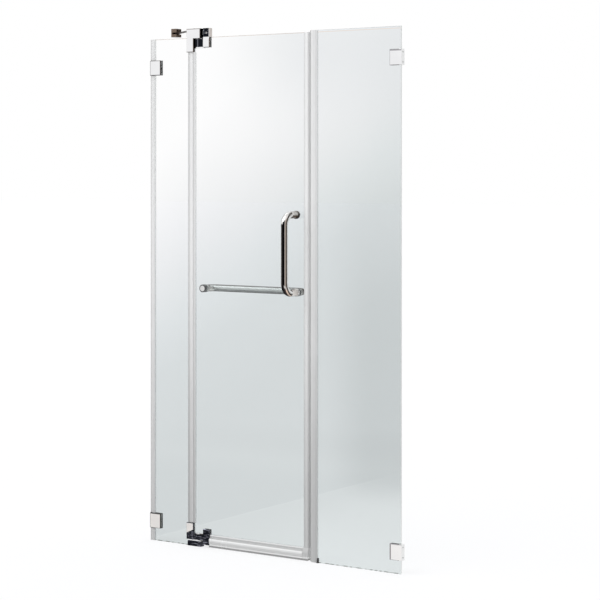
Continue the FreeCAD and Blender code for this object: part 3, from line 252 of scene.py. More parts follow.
# Soft edges that the tones keep to: where each starts and ends, in metres.
LOWER_MOUNTS = (1.00, 1.02)
UPPER_MOUNT = (1.10, 1.12)
HANDLE_RUNS = (-0.050, -0.042)
CAP_RIM = (0.0094, 0.0106)
RIGHT_WALL_SIDE = (0.8445, 0.8455)
HINGE_ARM_FOOT = (1.7935, 1.7950)
PIVOT_ARM_END = (0.0285, 0.0295)
PIVOT_RISER_FOOT = (1.8232, 1.8240)
PIVOT_EDGE_LINE = (0.0535, 0.0545)
PIVOT_SIDE = (0.054, 0.055)
PIVOT_REAR = (0.000, 0.002)
LIMB_EDGE = (-0.0160, -0.0145)
LIMB_REFLECTION_FOOT = (0.0440, 0.0455)
SEAL_REAR_LEGS = (0.0036, 0.0042)
RIGHT_PANEL_EDGE = (0.47, 0.50)
GLASS_FOOT = (0.0020, 0.0030)

# Bands that the tones keep to: their two sides, in metres.
PIVOT_HIGHLIGHT_STREAK = (0.0040, 0.0070)
PIVOT_LINE = (1.8365, 1.8385)
PIVOT_HIGH_GLINTS = (1.8425, 1.8505)
PIVOT_LOW_GLINTS = (1.8285, 1.8325)
MEETING_SEALS = (0.4765, 0.4955)

# Single measures, in metres: the limb's left side, a cap's radius and the glass's lit top edge.
LIMB_LEFT = -0.046
CAP_RADIUS = 0.014
TOP_EDGE = 0.0022

# The photograph's line of sight on plan, which the stripes of the round tubes are laid along.
SIGHT_X = 0.559
SIGHT_Y = 0.829


def on_bevels(g):
    """1 on bevels and roundings, 0 on faces square to the piece's axes."""
    return g.fall(g.either(*[g.absolute(part) for part in g.facing()]), 0.80, 0.97)


def darker_colour(colour, share):
    """The colour times a share, for painted reflection and for darker tone at random."""
    return tuple(part * share for part in colour)


def scratches(g, place):
    """Hairline scratches, drawn out along the piece's height."""
    return g.noise(g.scaled(place, (900.0, 900.0, 60.0)), 1.0, 1.0)


def polished_metal(name, colour, rough_low, rough_high, edge=1.0, metal=1.0):
    """Plated metal: polishing haze, faint fingerprints and hairline scratches.

    Bevels take edge times the colour, a painted reflection of the darker parts of a room.
    """
    made, g = new_material(name)
    place = g.object_place()
    haze = g.noise(place, 42.0, 4.0, 0.55)
    smudge = g.noise(place, 11.0, 3.0, 0.6)
    rough = g.plus(g.span(haze, 0.3, 0.75, rough_low, rough_high),
                   g.span(smudge, 0.55, 0.8, 0.0, 0.02))
    tone = g.blend(g.rise(smudge, 0.35, 0.75), colour, darker_colour(colour, 0.94))
    if edge < 1.0:
        tone = g.blend(on_bevels(g), tone, darker_colour(colour, edge))
    g.finish(g.shader(Base_Color=tone, Metallic=metal, Roughness=rough,
                      Normal=g.bump(scratches(g, place), 0.05, 0.0002)))
    return made


def framed_plate(name, node, left, right, top, bottom, line, shut, pale_wall=False,
                 pale_front=None, low_side=None):
    """Chrome fitting with a narrow dark outline on its front, a painted reflection of room
    corners.

    left, right, top and bottom are the outline's widths in metres and line is its tone.  shut
    is the painted shade of its right and upper faces.  With pale_wall its face against the right
    wall is a flat pale grey instead.  pale_front is the colour of a painted reflection of the
    pale floor before it.  low_side is the painted shade of the right side below its arm.
    """
    made, g = new_material(name)
    low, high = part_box(node)
    place = g.object_place()
    x, z = g.axes(place)[::2]
    nx, ny, nz = g.facing()
    soft = 0.0004
    # Painted reflection: a narrow dark outline round the front.
    outline = g.either(g.fall(x, low.x + left - soft, low.x + left + soft),
                       g.rise(x, high.x - right - soft, high.x - right + soft),
                       g.rise(z, high.z - top - soft, high.z - top + soft),
                       g.fall(z, low.z + bottom - soft, low.z + bottom + soft))
    haze = g.noise(place, 42.0, 4.0)
    smudge = g.noise(place, 11.0, 3.0)
    bright = g.blend(g.rise(smudge, 0.35, 0.75), (0.87, 0.87, 0.88), (0.82, 0.82, 0.835))
    tone = g.blend(g.either(on_bevels(g), outline), bright, line)
    # Painted shade: the right and upper faces take the shut tone.
    shaded_faces = g.either(g.rise(nx, 0.5, 0.9), g.rise(nz, 0.5, 0.9))
    # Painted shade on the right side below the arm.
    if low_side:
        shut = g.blend(g.fall(z, *HINGE_ARM_FOOT), shut, low_side)
    tone = g.blend(shaded_faces, tone, shut)
    metal = 1.0
    rough = g.span(haze, 0.3, 0.75, 0.03, 0.08)
    # The face against the right wall is a flat pale grey, not metal.
    if pale_wall:
        wall_face = g.either(g.rise(nx, 0.85, 0.98),
                       g.times(g.rise(x, *RIGHT_WALL_SIDE), g.rise(ny, -0.9, -0.6)))
        tone = g.blend(wall_face, tone, (0.90, 0.905, 0.905))
        metal = g.unless(wall_face)
        rough = g.plus(rough, g.times(wall_face, 0.5))
    # A painted reflection of the pale floor on the front.
    if pale_front:
        front = g.times(g.fall(ny, -0.95, -0.85), g.unless(outline))
        tone = g.blend(front, tone, pale_front)
        metal = g.minus(metal, front)
    g.finish(g.shader(Base_Color=tone, Metallic=metal, Roughness=rough,
                      Normal=g.bump(haze, 0.03, 0.0002)))
    return made


def upper_pivot_chrome():
    """Chrome of the moving upper pivot, its arm and riser with a painted dark reflection in front.
    """
    made, g = new_material("chrome_upper_pivot")
    place = g.object_place()
    x, y, z = g.axes(place)
    nx, ny = g.facing()[:2]
    arm = g.fall(x, *PIVOT_ARM_END)
    riser = g.rise(z, *PIVOT_RISER_FOOT)
    front = g.fall(ny, 0.1, 0.4)
    strokes = g.noise(g.scaled(place, (330.0, 0.0, 24.0)), 1.0, 2.0)
    # Painted highlights on the dark front: a streak on the arm, a line and glints on the riser.
    highlight_streak = g.times(g.band(x, *PIVOT_HIGHLIGHT_STREAK, 0.0012), arm)
    line = g.times(g.band(z, *PIVOT_LINE, 0.001), riser)
    glints = g.times(g.rise(strokes, 0.58, 0.66),
                    g.either(g.band(z, *PIVOT_HIGH_GLINTS, 0.001),
                             g.band(z, *PIVOT_LOW_GLINTS, 0.001)))
    light = g.either(g.times(highlight_streak, 0.30), g.times(line, 0.30),
                     g.times(glints, g.times(riser, 0.75)))
    dark = g.blend(light, (0.010, 0.011, 0.015), (0.62, 0.64, 0.72))
    # A painted highlight along the riser's right edge.
    edge_line = g.times(g.rise(x, *PIVOT_EDGE_LINE), riser)
    dark = g.blend(edge_line, dark, (0.85, 0.84, 0.84))
    mask = g.times(front, g.either(arm, riser))
    haze = g.noise(place, 60.0, 3.0)
    # Painted reflection: the bevels are darker.
    bright = g.blend(on_bevels(g), (0.87, 0.87, 0.875), (0.32, 0.30, 0.29))
    tone = g.blend(mask, bright, dark)
    # Painted shade and light on the right side: pale on the riser and to the rear, dark brown
    # elsewhere.
    side = g.times(g.rise(nx, 0.8, 0.95), g.rise(x, *PIVOT_SIDE))
    rear = g.either(riser, g.rise(y, *PIVOT_REAR))
    tone = g.blend(side, tone, g.blend(rear, (0.11, 0.08, 0.065), (0.66, 0.61, 0.58)))
    g.finish(g.shader(Base_Color=tone, Metallic=g.unless(side),
                      Roughness=g.span(haze, 0.3, 0.7, 0.04, 0.11),
                      Normal=g.bump(strokes, 0.04, 0.0002)))
    return made


def lower_pivot_chrome():
    """Chrome near the floor: a painted dim blue-grey reflection with pale glints, and a pale
    patch.

    The patch is a painted reflection.  It is on the front of the fixed half's upright limb,
    above a slanting edge.
    """
    made, g = new_material("chrome_lower_pivot")
    place = g.object_place()
    x, z = g.axes(place)[::2]
    ny, nz = g.facing()[1:]
    glint_streaks = g.noise(g.scaled(place, (60.0, 260.0, 420.0)), 1.0, 3.0)
    glint_spots = g.noise(g.scaled(place, (90.0, 90.0, 150.0)), 1.0, 2.0)
    haze = g.noise(place, 60.0, 3.0)
    top = g.rise(nz, 0.35, 0.6)
    # Painted highlights: pale glints in streaks, and in spots off the top faces.
    glint = g.plus(g.span(glint_streaks, 0.53, 0.70, 0.0, 0.8),
                   g.times(g.span(glint_spots, 0.58, 0.66, 0.0, 0.14), g.unless(top)))
    dim = g.blend(glint, (0.011, 0.013, 0.019), (0.46, 0.47, 0.57))
    slope = 0.45
    height = g.minus(z, g.times(g.minus(x, LIMB_LEFT), slope))
    # A painted pale reflection on the limb's front, not metal.
    patch = g.times(g.rise(height, *LIMB_REFLECTION_FOOT),
                    g.times(g.fall(x, *LIMB_EDGE), g.fall(ny, -0.95, -0.85)))
    g.finish(g.shader(Base_Color=g.blend(patch, dim, (0.74, 0.71, 0.69)),
                      Metallic=g.unless(patch),
                      Roughness=g.span(haze, 0.3, 0.7, 0.02, 0.06),
                      Normal=g.bump(glint_streaks, 0.03, 0.0003)))
    return made


def round_chrome(name, bright):
    """What both tubes start from: the graph, the place on it, its haze and its clean tone."""
    made, g = new_material(name)
    place = g.object_place()
    haze = g.noise(place, 42.0, 4.0)
    tone = g.blend(g.rise(haze, 0.35, 0.75), bright, darker_colour(bright, 0.93))
    return made, g, place, haze, tone


def finish_round(g, place, haze, tone, metal):
    """What both tubes end with: their gloss, its scratches and the output."""
    g.finish(g.shader(Base_Color=tone, Metallic=metal,
                      Roughness=g.span(haze, 0.3, 0.75, 0.03, 0.08),
                      Normal=g.bump(scratches(g, place), 0.05, 0.0002)))


def bar_chrome():
    """Towel bar chrome: painted dark reflection on upper and lower rims, painted shade underneath.
    """
    made, g, place, haze, tone = round_chrome("chrome_bar", (0.74, 0.73, 0.715))
    nx, ny, nz = g.facing()
    toward = g.minus(g.times(nx, SIGHT_X), g.times(ny, SIGHT_Y))
    # Painted reflection: dark where the surface turns away from the line of sight.
    tone = g.blend(g.fall(toward, 0.40, 0.60), tone, (0.10, 0.085, 0.078))
    # Painted shade on the underside.
    tone = g.blend(g.fall(nz, -0.92, -0.74), tone, (0.26, 0.25, 0.245))
    finish_round(g, place, haze, tone, 0.62)
    return made


def handle_chrome():
    """Chrome of the pull handle, with painted reflections in stripes along its upright length.

    From left to right they are a dark stripe, the clean tone, a dim rim and a pale flank.  Its
    underside has painted shade, with a painted warm glow to the right.  The straight runs back
    to the glass are painted pale, with painted brown shade on the upper one's lower half and
    dark rims on the lower one.
    """
    made, g, place, haze, tone = round_chrome("chrome_handle", (0.84, 0.82, 0.80))
    y, z = g.axes(place)[1:]
    nx, ny, nz = g.facing()
    across = g.plus(g.times(nx, SIGHT_Y), g.times(ny, SIGHT_X))
    tone = g.blend(g.band(across, 0.44, 0.72, 0.06), tone, (0.19, 0.175, 0.165))
    below = g.blend(g.band(across, 0.18, 0.52, 0.08), (0.035, 0.030, 0.028),
                    (0.80, 0.62, 0.52))
    tone = g.blend(g.fall(nz, -0.40, -0.22), tone, below)
    stripe = g.times(g.band(across, -0.88, -0.14, 0.05), g.fall(nz, 0.05, 0.22))
    tone = g.blend(stripe, tone, (0.022, 0.020, 0.020))
    run = g.rise(y, *HANDLE_RUNS)
    upper = g.blend(g.rise(nz, -0.25, 0.20), (0.12, 0.088, 0.070), (0.98, 0.95, 0.92))
    tone = g.blend(g.times(run, g.rise(z, *UPPER_MOUNT)), tone, upper)
    lower = g.blend(g.band(nz, -0.80, 0.86, 0.06), (0.05, 0.045, 0.045), (0.98, 0.92, 0.88))
    tone = g.blend(g.times(run, g.fall(z, *LOWER_MOUNTS)), tone, lower)
    flank = g.times(g.rise(across, 0.76, 0.84), g.unless(run))
    tone = g.blend(flank, tone, (0.96, 0.96, 0.955))
    finish_round(g, place, haze, tone, g.unless(g.times(g.either(run, flank), 0.85)))
    return made


def mount_chrome():
    """Chrome collars on the glass, painted as reflections: dark above, pale and mottled below."""
    made, g = new_material("chrome_mount")
    place = g.object_place()
    lower = g.fall(g.axes(place)[2], *LOWER_MOUNTS)
    mottle = g.noise(place, 260.0, 3.0)
    pale = g.blend(g.rise(mottle, 0.42, 0.58), (0.34, 0.33, 0.33), (0.80, 0.79, 0.78))
    nz = g.facing()[2]
    # Painted shade under the lower collars.
    pale = g.blend(g.fall(nz, -0.85, -0.60), pale, (0.05, 0.045, 0.04))
    # Painted reflection on the upper collars: dark, lighter on top.
    deep = g.blend(g.rise(nz, -0.1, 0.8), (0.018, 0.015, 0.013), (0.24, 0.22, 0.20))
    g.finish(g.shader(Base_Color=g.blend(lower, deep, pale),
                      Metallic=g.span(lower, 0.0, 1.0, 0.5, 0.15),
                      Roughness=g.span(mottle, 0.3, 0.7, 0.05, 0.14),
                      Normal=g.bump(mottle, 0.04, 0.0003)))
    return made


def cap_chrome():
    """Flat caps on the glass: the lower one has a pale face and a dark rim, both painted
    reflection.
    """
    made, g = new_material("chrome_cap")
    place = g.object_place()
    x, z = g.axes(place)[::2]
    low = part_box("mount_caps")[0]
    radius = g.length(g.minus(x, low.x + CAP_RADIUS), g.minus(z, low.z + CAP_RADIUS))
    haze = g.noise(place, 120.0, 3.0)
    foot = g.fall(z, *LOWER_MOUNTS)
    face = g.blend(g.rise(haze, 0.35, 0.7), (0.68, 0.68, 0.67), (0.60, 0.60, 0.60))
    face = g.blend(g.rise(radius, *CAP_RIM), face, (0.09, 0.09, 0.095))
    g.finish(g.shader(Base_Color=g.blend(foot, (0.86, 0.86, 0.865), face),
                      Metallic=g.span(foot, 0.0, 1.0, 1.0, 0.2),
                      Roughness=g.span(haze, 0.3, 0.75, 0.05, 0.12),
                      Normal=g.bump(haze, 0.03, 0.0002)))
    return made


def clear_glass():
    """Tempered glass with ground edges, toned as the photograph shows it.

    Its painted shade leaves it nearly clear at the top left and a faint grey-green lower down and
    to the right, with painted reflections at the right and a painted line along the top edge.
    """
    made, g = new_material("clear_glass")
    place = g.object_place()
    x, z = g.axes(place)[::2]
    gradient_wobble = g.noise(g.scaled(place, (1.6, 1.6, 0.7)), 1.0, 3.0)
    slant = 0.65
    tallest = 1.8
    # Painted shade: the tint falls off along a slant, with a wobble.
    level = g.minus(z, g.times(x, slant))
    level = g.plus(level, g.span(gradient_wobble, 0.3, 0.7, -0.03, 0.03))
    tint = g.ramp(g.math("DIVIDE", level, tallest), (
        (0.000, (0.636, 0.674, 0.676)), (0.233, (0.638, 0.676, 0.678)),
        (0.397, (0.665, 0.704, 0.708)), (0.489, (0.722, 0.758, 0.764)),
        (0.594, (0.812, 0.829, 0.836)), (0.672, (0.872, 0.882, 0.890)),
        (0.761, (0.938, 0.941, 0.946)), (0.850, (0.985, 0.985, 0.988)),
        (1.000, (0.990, 0.990, 0.992))))
    # Painted shade near the floor, and at the foot of the right panel.
    near_floor = g.fall(z, 0.24, 0.44)
    tint = g.blend(near_floor, tint, (0.694, 0.735, 0.735))
    foot_right = g.times(g.fall(z, 0.00, 0.22), g.rise(x, *RIGHT_PANEL_EDGE))
    tint = g.blend(foot_right, tint, (0.740, 0.782, 0.784))
    # Painted reflections at the upper and lower right.
    high_right = g.times(g.rise(z, 1.40, 1.78), g.rise(x, 0.0, 0.5))
    low_right = g.times(g.rise(x, 0.52, 0.74),
                        g.times(g.rise(z, 0.20, 0.32), g.fall(z, 0.75, 1.45)))
    tint = g.blend(g.times(high_right, 0.55), tint, (0.70, 0.73, 0.75))
    tint = g.blend(g.times(low_right, 0.16), tint, (0.10, 0.13, 0.13))
    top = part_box("left_panel_glass")[1].z
    # A painted thin warm line along the top edge.
    tint = g.blend(g.band(z, top - TOP_EDGE, top, 0.0004), tint, (0.80, 0.72, 0.66))
    dash = g.noise(g.scaled(place, (55.0, 0.0, 0.0)), 1.0, 0.0)
    dashes = g.times(g.fall(z, *GLASS_FOOT), g.rise(dash, 0.47, 0.53))
    tint = g.blend(dashes, tint, (0.20, 0.22, 0.21))
    ground = g.fall(g.absolute(g.facing()[1]), 0.35, 0.85)
    tint = g.blend(ground, tint, (0.93, 0.95, 0.945))
    drops = g.noise(place, 130.0, 2.0)
    grit = g.noise(place, 2600.0, 2.0)
    rough = g.plus(g.span(drops, 0.4, 0.8, 0.0, 0.012), g.times(ground, 0.35))
    glass = g.shader(Base_Color=tint, Roughness=rough, IOR=1.5,
                     Transmission_Weight=g.unless(g.times(ground, 0.85)),
                     Normal=g.bump(g.times(grit, ground), 0.05, 0.0002))
    g.finish(let_lamps_through(g, glass, (0.93, 0.95, 0.945)))
    return made


def clear_vinyl(name, clear, rough, bands, axis=0, low=0.63):
    """Extruded clear vinyl: milky, toned in lengthwise bands by its legs, web and fins, and by
    painted light and shade.

    bands are (place along the axis in metres, grey), axis is 0 for an upright seal and 2 for a
    level one, and low is how much of the tone is left at the floor.
    """
    made, g = new_material(name)
    upright = axis == 0
    place = g.object_place()
    parts = g.axes(place)
    start = bands[0][0]
    reach = bands[-1][0] - start
    across = g.math("DIVIDE", g.minus(parts[axis], start), reach)
    tone = g.ramp(across, [((at - start) / reach, (grey, grey, grey * 1.005))
                           for at, grey in bands])
    cloud = g.noise(g.scaled(place, (26.0, 26.0, 5.0)), 1.0, 3.0)
    lines = g.noise(g.scaled(place, (900.0, 900.0, 0.0) if upright else (0.0, 900.0, 900.0)),
                    1.0, 1.0)
    # Painted shade: darker lower down, to low of the tone at the floor.
    shade_lower_down = g.span(g.plus(parts[2], g.span(cloud, 0.3, 0.7, -0.04, 0.04)),
                  0.0, 1.25, 1.0 - low, 0.0)
    tone = g.blend(shade_lower_down, tone, (0.0, 0.0, 0.002))
    if upright:
        apart = g.unless(g.band(parts[0], *MEETING_SEALS, 0.0005))
        rear = g.times(g.rise(parts[1], *SEAL_REAR_LEGS), apart)
        # Painted light: the right-facing sides take a fixed pale tone.
        side = g.times(g.span(g.facing()[0], 0.7, 0.9, 0.0, 0.8), apart)
        tone = g.blend(side, tone, (0.72, 0.72, 0.725))
    vinyl = g.shader(Base_Color=tone, Roughness=g.span(cloud, 0.3, 0.7, rough, rough + 0.08),
                     IOR=1.45, Transmission_Weight=clear, Specular_IOR_Level=0.25,
                     Normal=g.bump(lines, 0.03, 0.0002))
    vinyl = let_lamps_through(g, vinyl, (0.9, 0.9, 0.9))
    if upright:
        through = g.shader("BsdfTransparent", Color=(0.93, 0.935, 0.935))
        vinyl = g.mixed(g.times(rear, 0.85), vinyl, through)
    g.finish(vinyl)
    return made


def moulded(name, colour, rough):
    """Moulded plastic or rubber with a fine grain."""
    made, g = new_material(name)
    place = g.object_place()
    speck = g.noise(place, 240.0, 3.0)
    cloud = g.noise(place, 18.0, 2.0)
    tone = g.blend(g.rise(cloud, 0.3, 0.7), colour, darker_colour(colour, 0.88))
    g.finish(g.shader(Base_Color=tone, Roughness=g.span(speck, 0.3, 0.7, rough, rough + 0.15),
                      Normal=g.bump(speck, 0.2, 0.0004)))
    return made


PLATE = polished_metal("chrome_plate", (0.88, 0.88, 0.885), 0.03, 0.08, edge=0.06)
# Painted shade: the brace's bracket is chrome painted brown, half metal.
SHADED = polished_metal("chrome_shaded", (0.165, 0.120, 0.090), 0.08, 0.16, edge=0.5,
                        metal=0.5)
MOUNT = mount_chrome()
CAP = cap_chrome()
# Painted shade: the brace rod is chrome painted near black, not metal.
ROD = polished_metal("chrome_rod", (0.030, 0.020, 0.015), 0.25, 0.35, metal=0.0)
# Painted shade: the top hinge's fixed cover, seen through the glass, is chrome painted brown.
BEHIND = polished_metal("chrome_behind", (0.13, 0.11, 0.095), 0.08, 0.16, metal=0.5)
HANDLE = handle_chrome()
BAR = bar_chrome()
# Painted shade for the clamps' right and upper faces, and a tone for their painted dark outlines.
DARK_SIDE = (0.020, 0.020, 0.024)
LINE = (0.26, 0.25, 0.26)
UPPER_LEFT = framed_plate("chrome_upper_left", "upper_left_clamp_base",
                          0.0018, 0.0018, 0.0022, 0.0022, LINE, (0.07, 0.06, 0.05))
LOWER_LEFT = framed_plate("chrome_lower_left", "lower_left_clamp_base",
                          0.0012, 0.0012, 0.0030, 0.0016, (0.10, 0.095, 0.09), DARK_SIDE,
                          pale_front=(0.74, 0.715, 0.695))
UPPER_RIGHT = framed_plate("chrome_upper_right", "upper_right_clamp_base",
                           0.0024, 0.0, 0.0058, 0.0020, (0.42, 0.41, 0.43), DARK_SIDE,
                           pale_wall=True)
LOWER_RIGHT = framed_plate("chrome_lower_right", "lower_right_clamp_base",
                           0.0058, 0.0, 0.0026, 0.0, (0.30, 0.29, 0.31), (0.10, 0.10, 0.10),
                           pale_wall=True)
HINGE_PLATE = framed_plate("chrome_hinge_plate", "top_hinge_fixed_body",
                           0.0012, 0.0, 0.0024, 0.0020, (0.34, 0.29, 0.26), DARK_SIDE,
                           low_side=(0.12, 0.105, 0.09))
UPPER = upper_pivot_chrome()
LOWER = lower_pivot_chrome()
STEEL = polished_metal("stainless_steel", (0.62, 0.61, 0.60), 0.18, 0.3)
GLASS = clear_glass()
# Each seal's bands follow its legs, web and fins, with painted light and shade on them.
WALL_SEAL = clear_vinyl("vinyl_wall_channel", 0.25, 0.32, (
    (-0.2120, 0.50), (-0.2095, 0.72), (-0.2070, 0.80), (-0.1965, 0.78), (-0.1930, 0.70)),
    low=0.72)
EDGE_SEAL = clear_vinyl("vinyl_panel_edge", 0.25, 0.32, (
    (-0.0410, 0.56), (-0.0385, 0.68), (-0.0335, 0.68), (-0.0325, 0.84), (-0.0210, 0.84)))
HEEL_SEAL = clear_vinyl("vinyl_door_heel", 0.25, 0.32, (
    (-0.0225, 0.84), (-0.0185, 0.84), (-0.0175, 0.62), (-0.0128, 0.62), (-0.0118, 0.86),
    (-0.0090, 0.88)))
# The darkest bands of the strike seals are painted shade in the gap where they meet.
STRIKE_SEAL = clear_vinyl("vinyl_door_strike", 0.25, 0.32, (
    (0.4610, 0.72), (0.4650, 0.76), (0.4670, 0.88), (0.4740, 0.88), (0.4760, 0.76),
    (0.4825, 0.72), (0.4838, 0.12), (0.4850, 0.10)))
JAMB_SEAL = clear_vinyl("vinyl_panel_strike", 0.25, 0.32, (
    (0.4805, 0.10), (0.4885, 0.10), (0.4900, 0.92), (0.4945, 0.92), (0.4960, 0.78),
    (0.5055, 0.80), (0.5070, 0.72), (0.5150, 0.72)))
# The drip seal's and end block's bands are painted highlights and shadow lines.
DRIP_SEAL = clear_vinyl("vinyl_drip", 0.15, 0.2, (
    (0.0040, 0.28), (0.0092, 0.28), (0.0105, 0.73), (0.0150, 0.73), (0.0165, 0.58),
    (0.0235, 0.58), (0.0250, 0.72), (0.0285, 0.74), (0.0300, 0.88), (0.0330, 0.88),
    (0.0340, 0.50), (0.0425, 0.50), (0.0440, 0.80), (0.0470, 0.84)), axis=2, low=1.0)
PAD = clear_vinyl("clear_pad", 0.6, 0.15, ((-0.25, 0.84), (0.90, 0.86)), low=1.0)
FROSTED = clear_vinyl("frosted_end", 0.2, 0.3, (
    (0.0040, 0.32), (0.0090, 0.34), (0.0105, 0.74), (0.0150, 0.74), (0.0165, 0.52),
    (0.0470, 0.58)), axis=2, low=1.0)
NYLON = moulded("white_nylon", (0.86, 0.86, 0.87), 0.35)
RUBBER = moulded("black_rubber", (0.02, 0.02, 0.021), 0.55)

BY_SLOT = {
    "clear_glass": GLASS, "chrome": PLATE, "steel": STEEL, "clear_pad": PAD,
    "frosted_plastic": FROSTED, "white_nylon": NYLON, "black_rubber": RUBBER,
}
NODES_OF = (
    (WALL_SEAL, ("left_wall_seal_lower", "left_wall_seal_middle", "left_wall_seal_upper")),
    (EDGE_SEAL, ("left_panel_edge_seal",)),
    (HEEL_SEAL, ("door_heel_seal",)),
    (STRIKE_SEAL, ("door_strike_seal",)),
    (JAMB_SEAL, ("right_panel_strike_seal",)),
    (DRIP_SEAL, ("door_drip_seal",)),
    (UPPER, ("top_hinge_door_body",)),
    (HINGE_PLATE, ("top_hinge_fixed_body",)),
    (BEHIND, ("top_hinge_fixed_cover",)),
    (LOWER, ("bottom_hinge_fixed_body", "bottom_hinge_fixed_cover", "bottom_hinge_door_body",
             "bottom_hinge_door_cover", "bottom_pivot_base")),
    (UPPER_LEFT, ("upper_left_clamp_base", "upper_left_clamp_cover")),
    (LOWER_LEFT, ("lower_left_clamp_base", "lower_left_clamp_cover")),
    (UPPER_RIGHT, ("upper_right_clamp_base", "upper_right_clamp_cover", "wall_clamp_screws")),
    (LOWER_RIGHT, ("lower_right_clamp_base", "lower_right_clamp_cover")),
    (SHADED, ("brace_wall_bracket",)),
    (ROD, ("brace_rod",)),
    (MOUNT, ("mount_rosettes",)),
    (CAP, ("mount_caps",)),
)
BY_NODE = {node: finish for finish, nodes in NODES_OF for node in nodes}


def dress(obj, finish):
    obj.data.materials.clear()
    obj.data.materials.append(finish)


SLOT_OF = {row["node"]: row["material_slot"] for row in frame["record"]["subparts"]}

for node, obj in NODES.items():
    dress(obj, BY_NODE.get(node) or BY_SLOT[SLOT_OF[node]])


# ---------------------------------------------------------------------------------------------
# Pieces that stand for CAD nodes, with rounder forms
# ---------------------------------------------------------------------------------------------

TUBE_AROUND = 72
BEND_STEPS = 26
HANDLE_BEND = 0.036
TOWEL_BEND = 0.026


def add_mesh(name, points, faces, finish, body, nodes):
    """A smooth mesh that rides on a body and stands for CAD nodes."""
    mesh = bpy.data.meshes.new(name)
    mesh.from_pydata([tuple(point) for point in points], [], faces)
    mesh.validate()
    for face in mesh.polygons:
        face.use_smooth = True
    obj = bpy.data.objects.new(name, mesh)
    bpy.context.scene.collection.objects.link(obj)
    dress(obj, finish)
    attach(obj, body)
    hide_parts(*nodes)


def quarter_turn(start, corner, end):
    """Points round a bend from start to end, whose runs would meet at the corner."""
    centre = start + end - corner
    a = start - centre
    b = end - centre
    return [centre + a * math.cos(turn) + b * math.sin(turn)
            for turn in (math.pi / 2 * step / BEND_STEPS for step in range(BEND_STEPS + 1))]


def swept_tube(path, side, radius):
    """Vertices and faces of a round tube with closed ends along a path in one plane.

    side points straight out of that plane.
    """
    around = TUBE_AROUND
    points = []
    faces = []
    for index, spot in enumerate(path):
        before = path[max(index - 1, 0)]
        after = path[min(index + 1, len(path) - 1)]
        across = (after - before).normalized().cross(side)
        for step in range(around):
            turn = 2.0 * math.pi * step / around
            points.append(spot + (side * math.cos(turn) + across * math.sin(turn)) * radius)
    for ring in range(len(path) - 1):
        for step in range(around):
            after = (step + 1) % around
            faces.append((ring * around + step, ring * around + after,
                          (ring + 1) * around + after, (ring + 1) * around + step))
    last = (len(path) - 1) * around
    faces.append(tuple(reversed(range(around))))
    faces.append(tuple(range(last, last + around)))
    return points, faces


def add_pull_handle():
    """The outer handle: one tube that runs back to the glass at its head and foot."""
    low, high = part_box("pull_handle")
    radius = (high.x - low.x) / 2
    x = low.x + radius
    reach = low.y + radius
    foot = low.z + radius
    head = high.z - radius
    bend = HANDLE_BEND

    def at(y, z):
        return Vector((x, y, z))

    path = [at(high.y, foot)]
    path += quarter_turn(at(reach + bend, foot), at(reach, foot), at(reach, foot + bend))
    path += quarter_turn(at(reach, head - bend), at(reach, head), at(reach + bend, head))
    path.append(at(high.y, head))
    points, faces = swept_tube(path, Vector((1, 0, 0)), radius)
    add_mesh("pull_handle_tube", points, faces, HANDLE, "door", ["pull_handle"])


def add_towel_bar():
    """The inner bar: one level tube that runs back to the glass at both ends."""
    low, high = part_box("towel_bar")
    radius = (high.z - low.z) / 2
    z = low.z + radius
    reach = high.y - radius
    left = low.x + radius
    right = high.x - radius
    bend = TOWEL_BEND

    def at(x, y):
        return Vector((x, y, z))

    path = [at(left, low.y)]
    path += quarter_turn(at(left, reach - bend), at(left, reach), at(left + bend, reach))
    path += quarter_turn(at(right - bend, reach), at(right, reach), at(right, reach - bend))
    path.append(at(right, low.y))
    points, faces = swept_tube(path, Vector((0, 0, 1)), radius)
    add_mesh("towel_bar_tube", points, faces, BAR, "door", ["towel_bar"])


add_pull_handle()
add_towel_bar()


# ---------------------------------------------------------------------------------------------
# Floor, light and camera
# ---------------------------------------------------------------------------------------------

# The floor that mirrored rays see: a dark patch with a lit edge, then an even pale tone, and
# far off the world.  Each pair is where a change starts and ends, in metres.
PATCH_EDGE = (-0.240, -0.232)
PATCH_DEPTH = (1.2, 1.9)
LINE_AT = (-0.240, -0.226)
LIT_FROM = (-0.300, 0.300)
EVEN_FROM = (1.0, 2.2)
WORLD_FROM = (2.2, 3.4)
FLOOR_GLOW = 0.672


def pale_floor():
    """White to the camera, and it keeps the shadow.  Mirrored rays see the floor named above."""
    made, g = new_material("pale_floor")
    place = g.node("ShaderNodeNewGeometry").outputs["Position"]
    x, y = g.axes(place)[:2]
    soft = g.noise(place, 3.0, 2.0)
    plain = g.shader("BsdfDiffuse", Color=g.blend(soft, (0.84, 0.84, 0.84), (0.86, 0.86, 0.86)))
    seen = g.node("ShaderNodeAddShader")
    g.plug(g.shader("BsdfDiffuse", Color=(0.30, 0.30, 0.31)), seen.inputs[0])
    g.plug(g.shader("Emission", Strength=FLOOR_GLOW), seen.inputs[1])
    patch = g.times(g.fall(x, *PATCH_EDGE), g.fall(g.absolute(y), *PATCH_DEPTH))
    away = g.length(x, y)
    lit = g.blend(g.rise(x, *LIT_FROM), (0.46, 0.45, 0.44), (1.00, 0.98, 0.96))
    lit = g.blend(g.band(x, *LINE_AT, 0.003), lit, (0.98, 0.96, 0.94))
    lit = g.blend(g.rise(away, *EVEN_FROM), lit, (0.66, 0.65, 0.64))
    near = g.shader("Emission", Color=g.blend(patch, lit, (0.022, 0.026, 0.036)))
    mirror = g.mixed(g.rise(away, *WORLD_FROM), near, g.shader("BsdfTransparent"))
    shown = g.mixed(g.ray("Is Camera Ray", "Is Transmission Ray"), plain, seen.outputs[0])
    g.finish(g.mixed(g.mirror_ray(), shown, mirror))
    return made


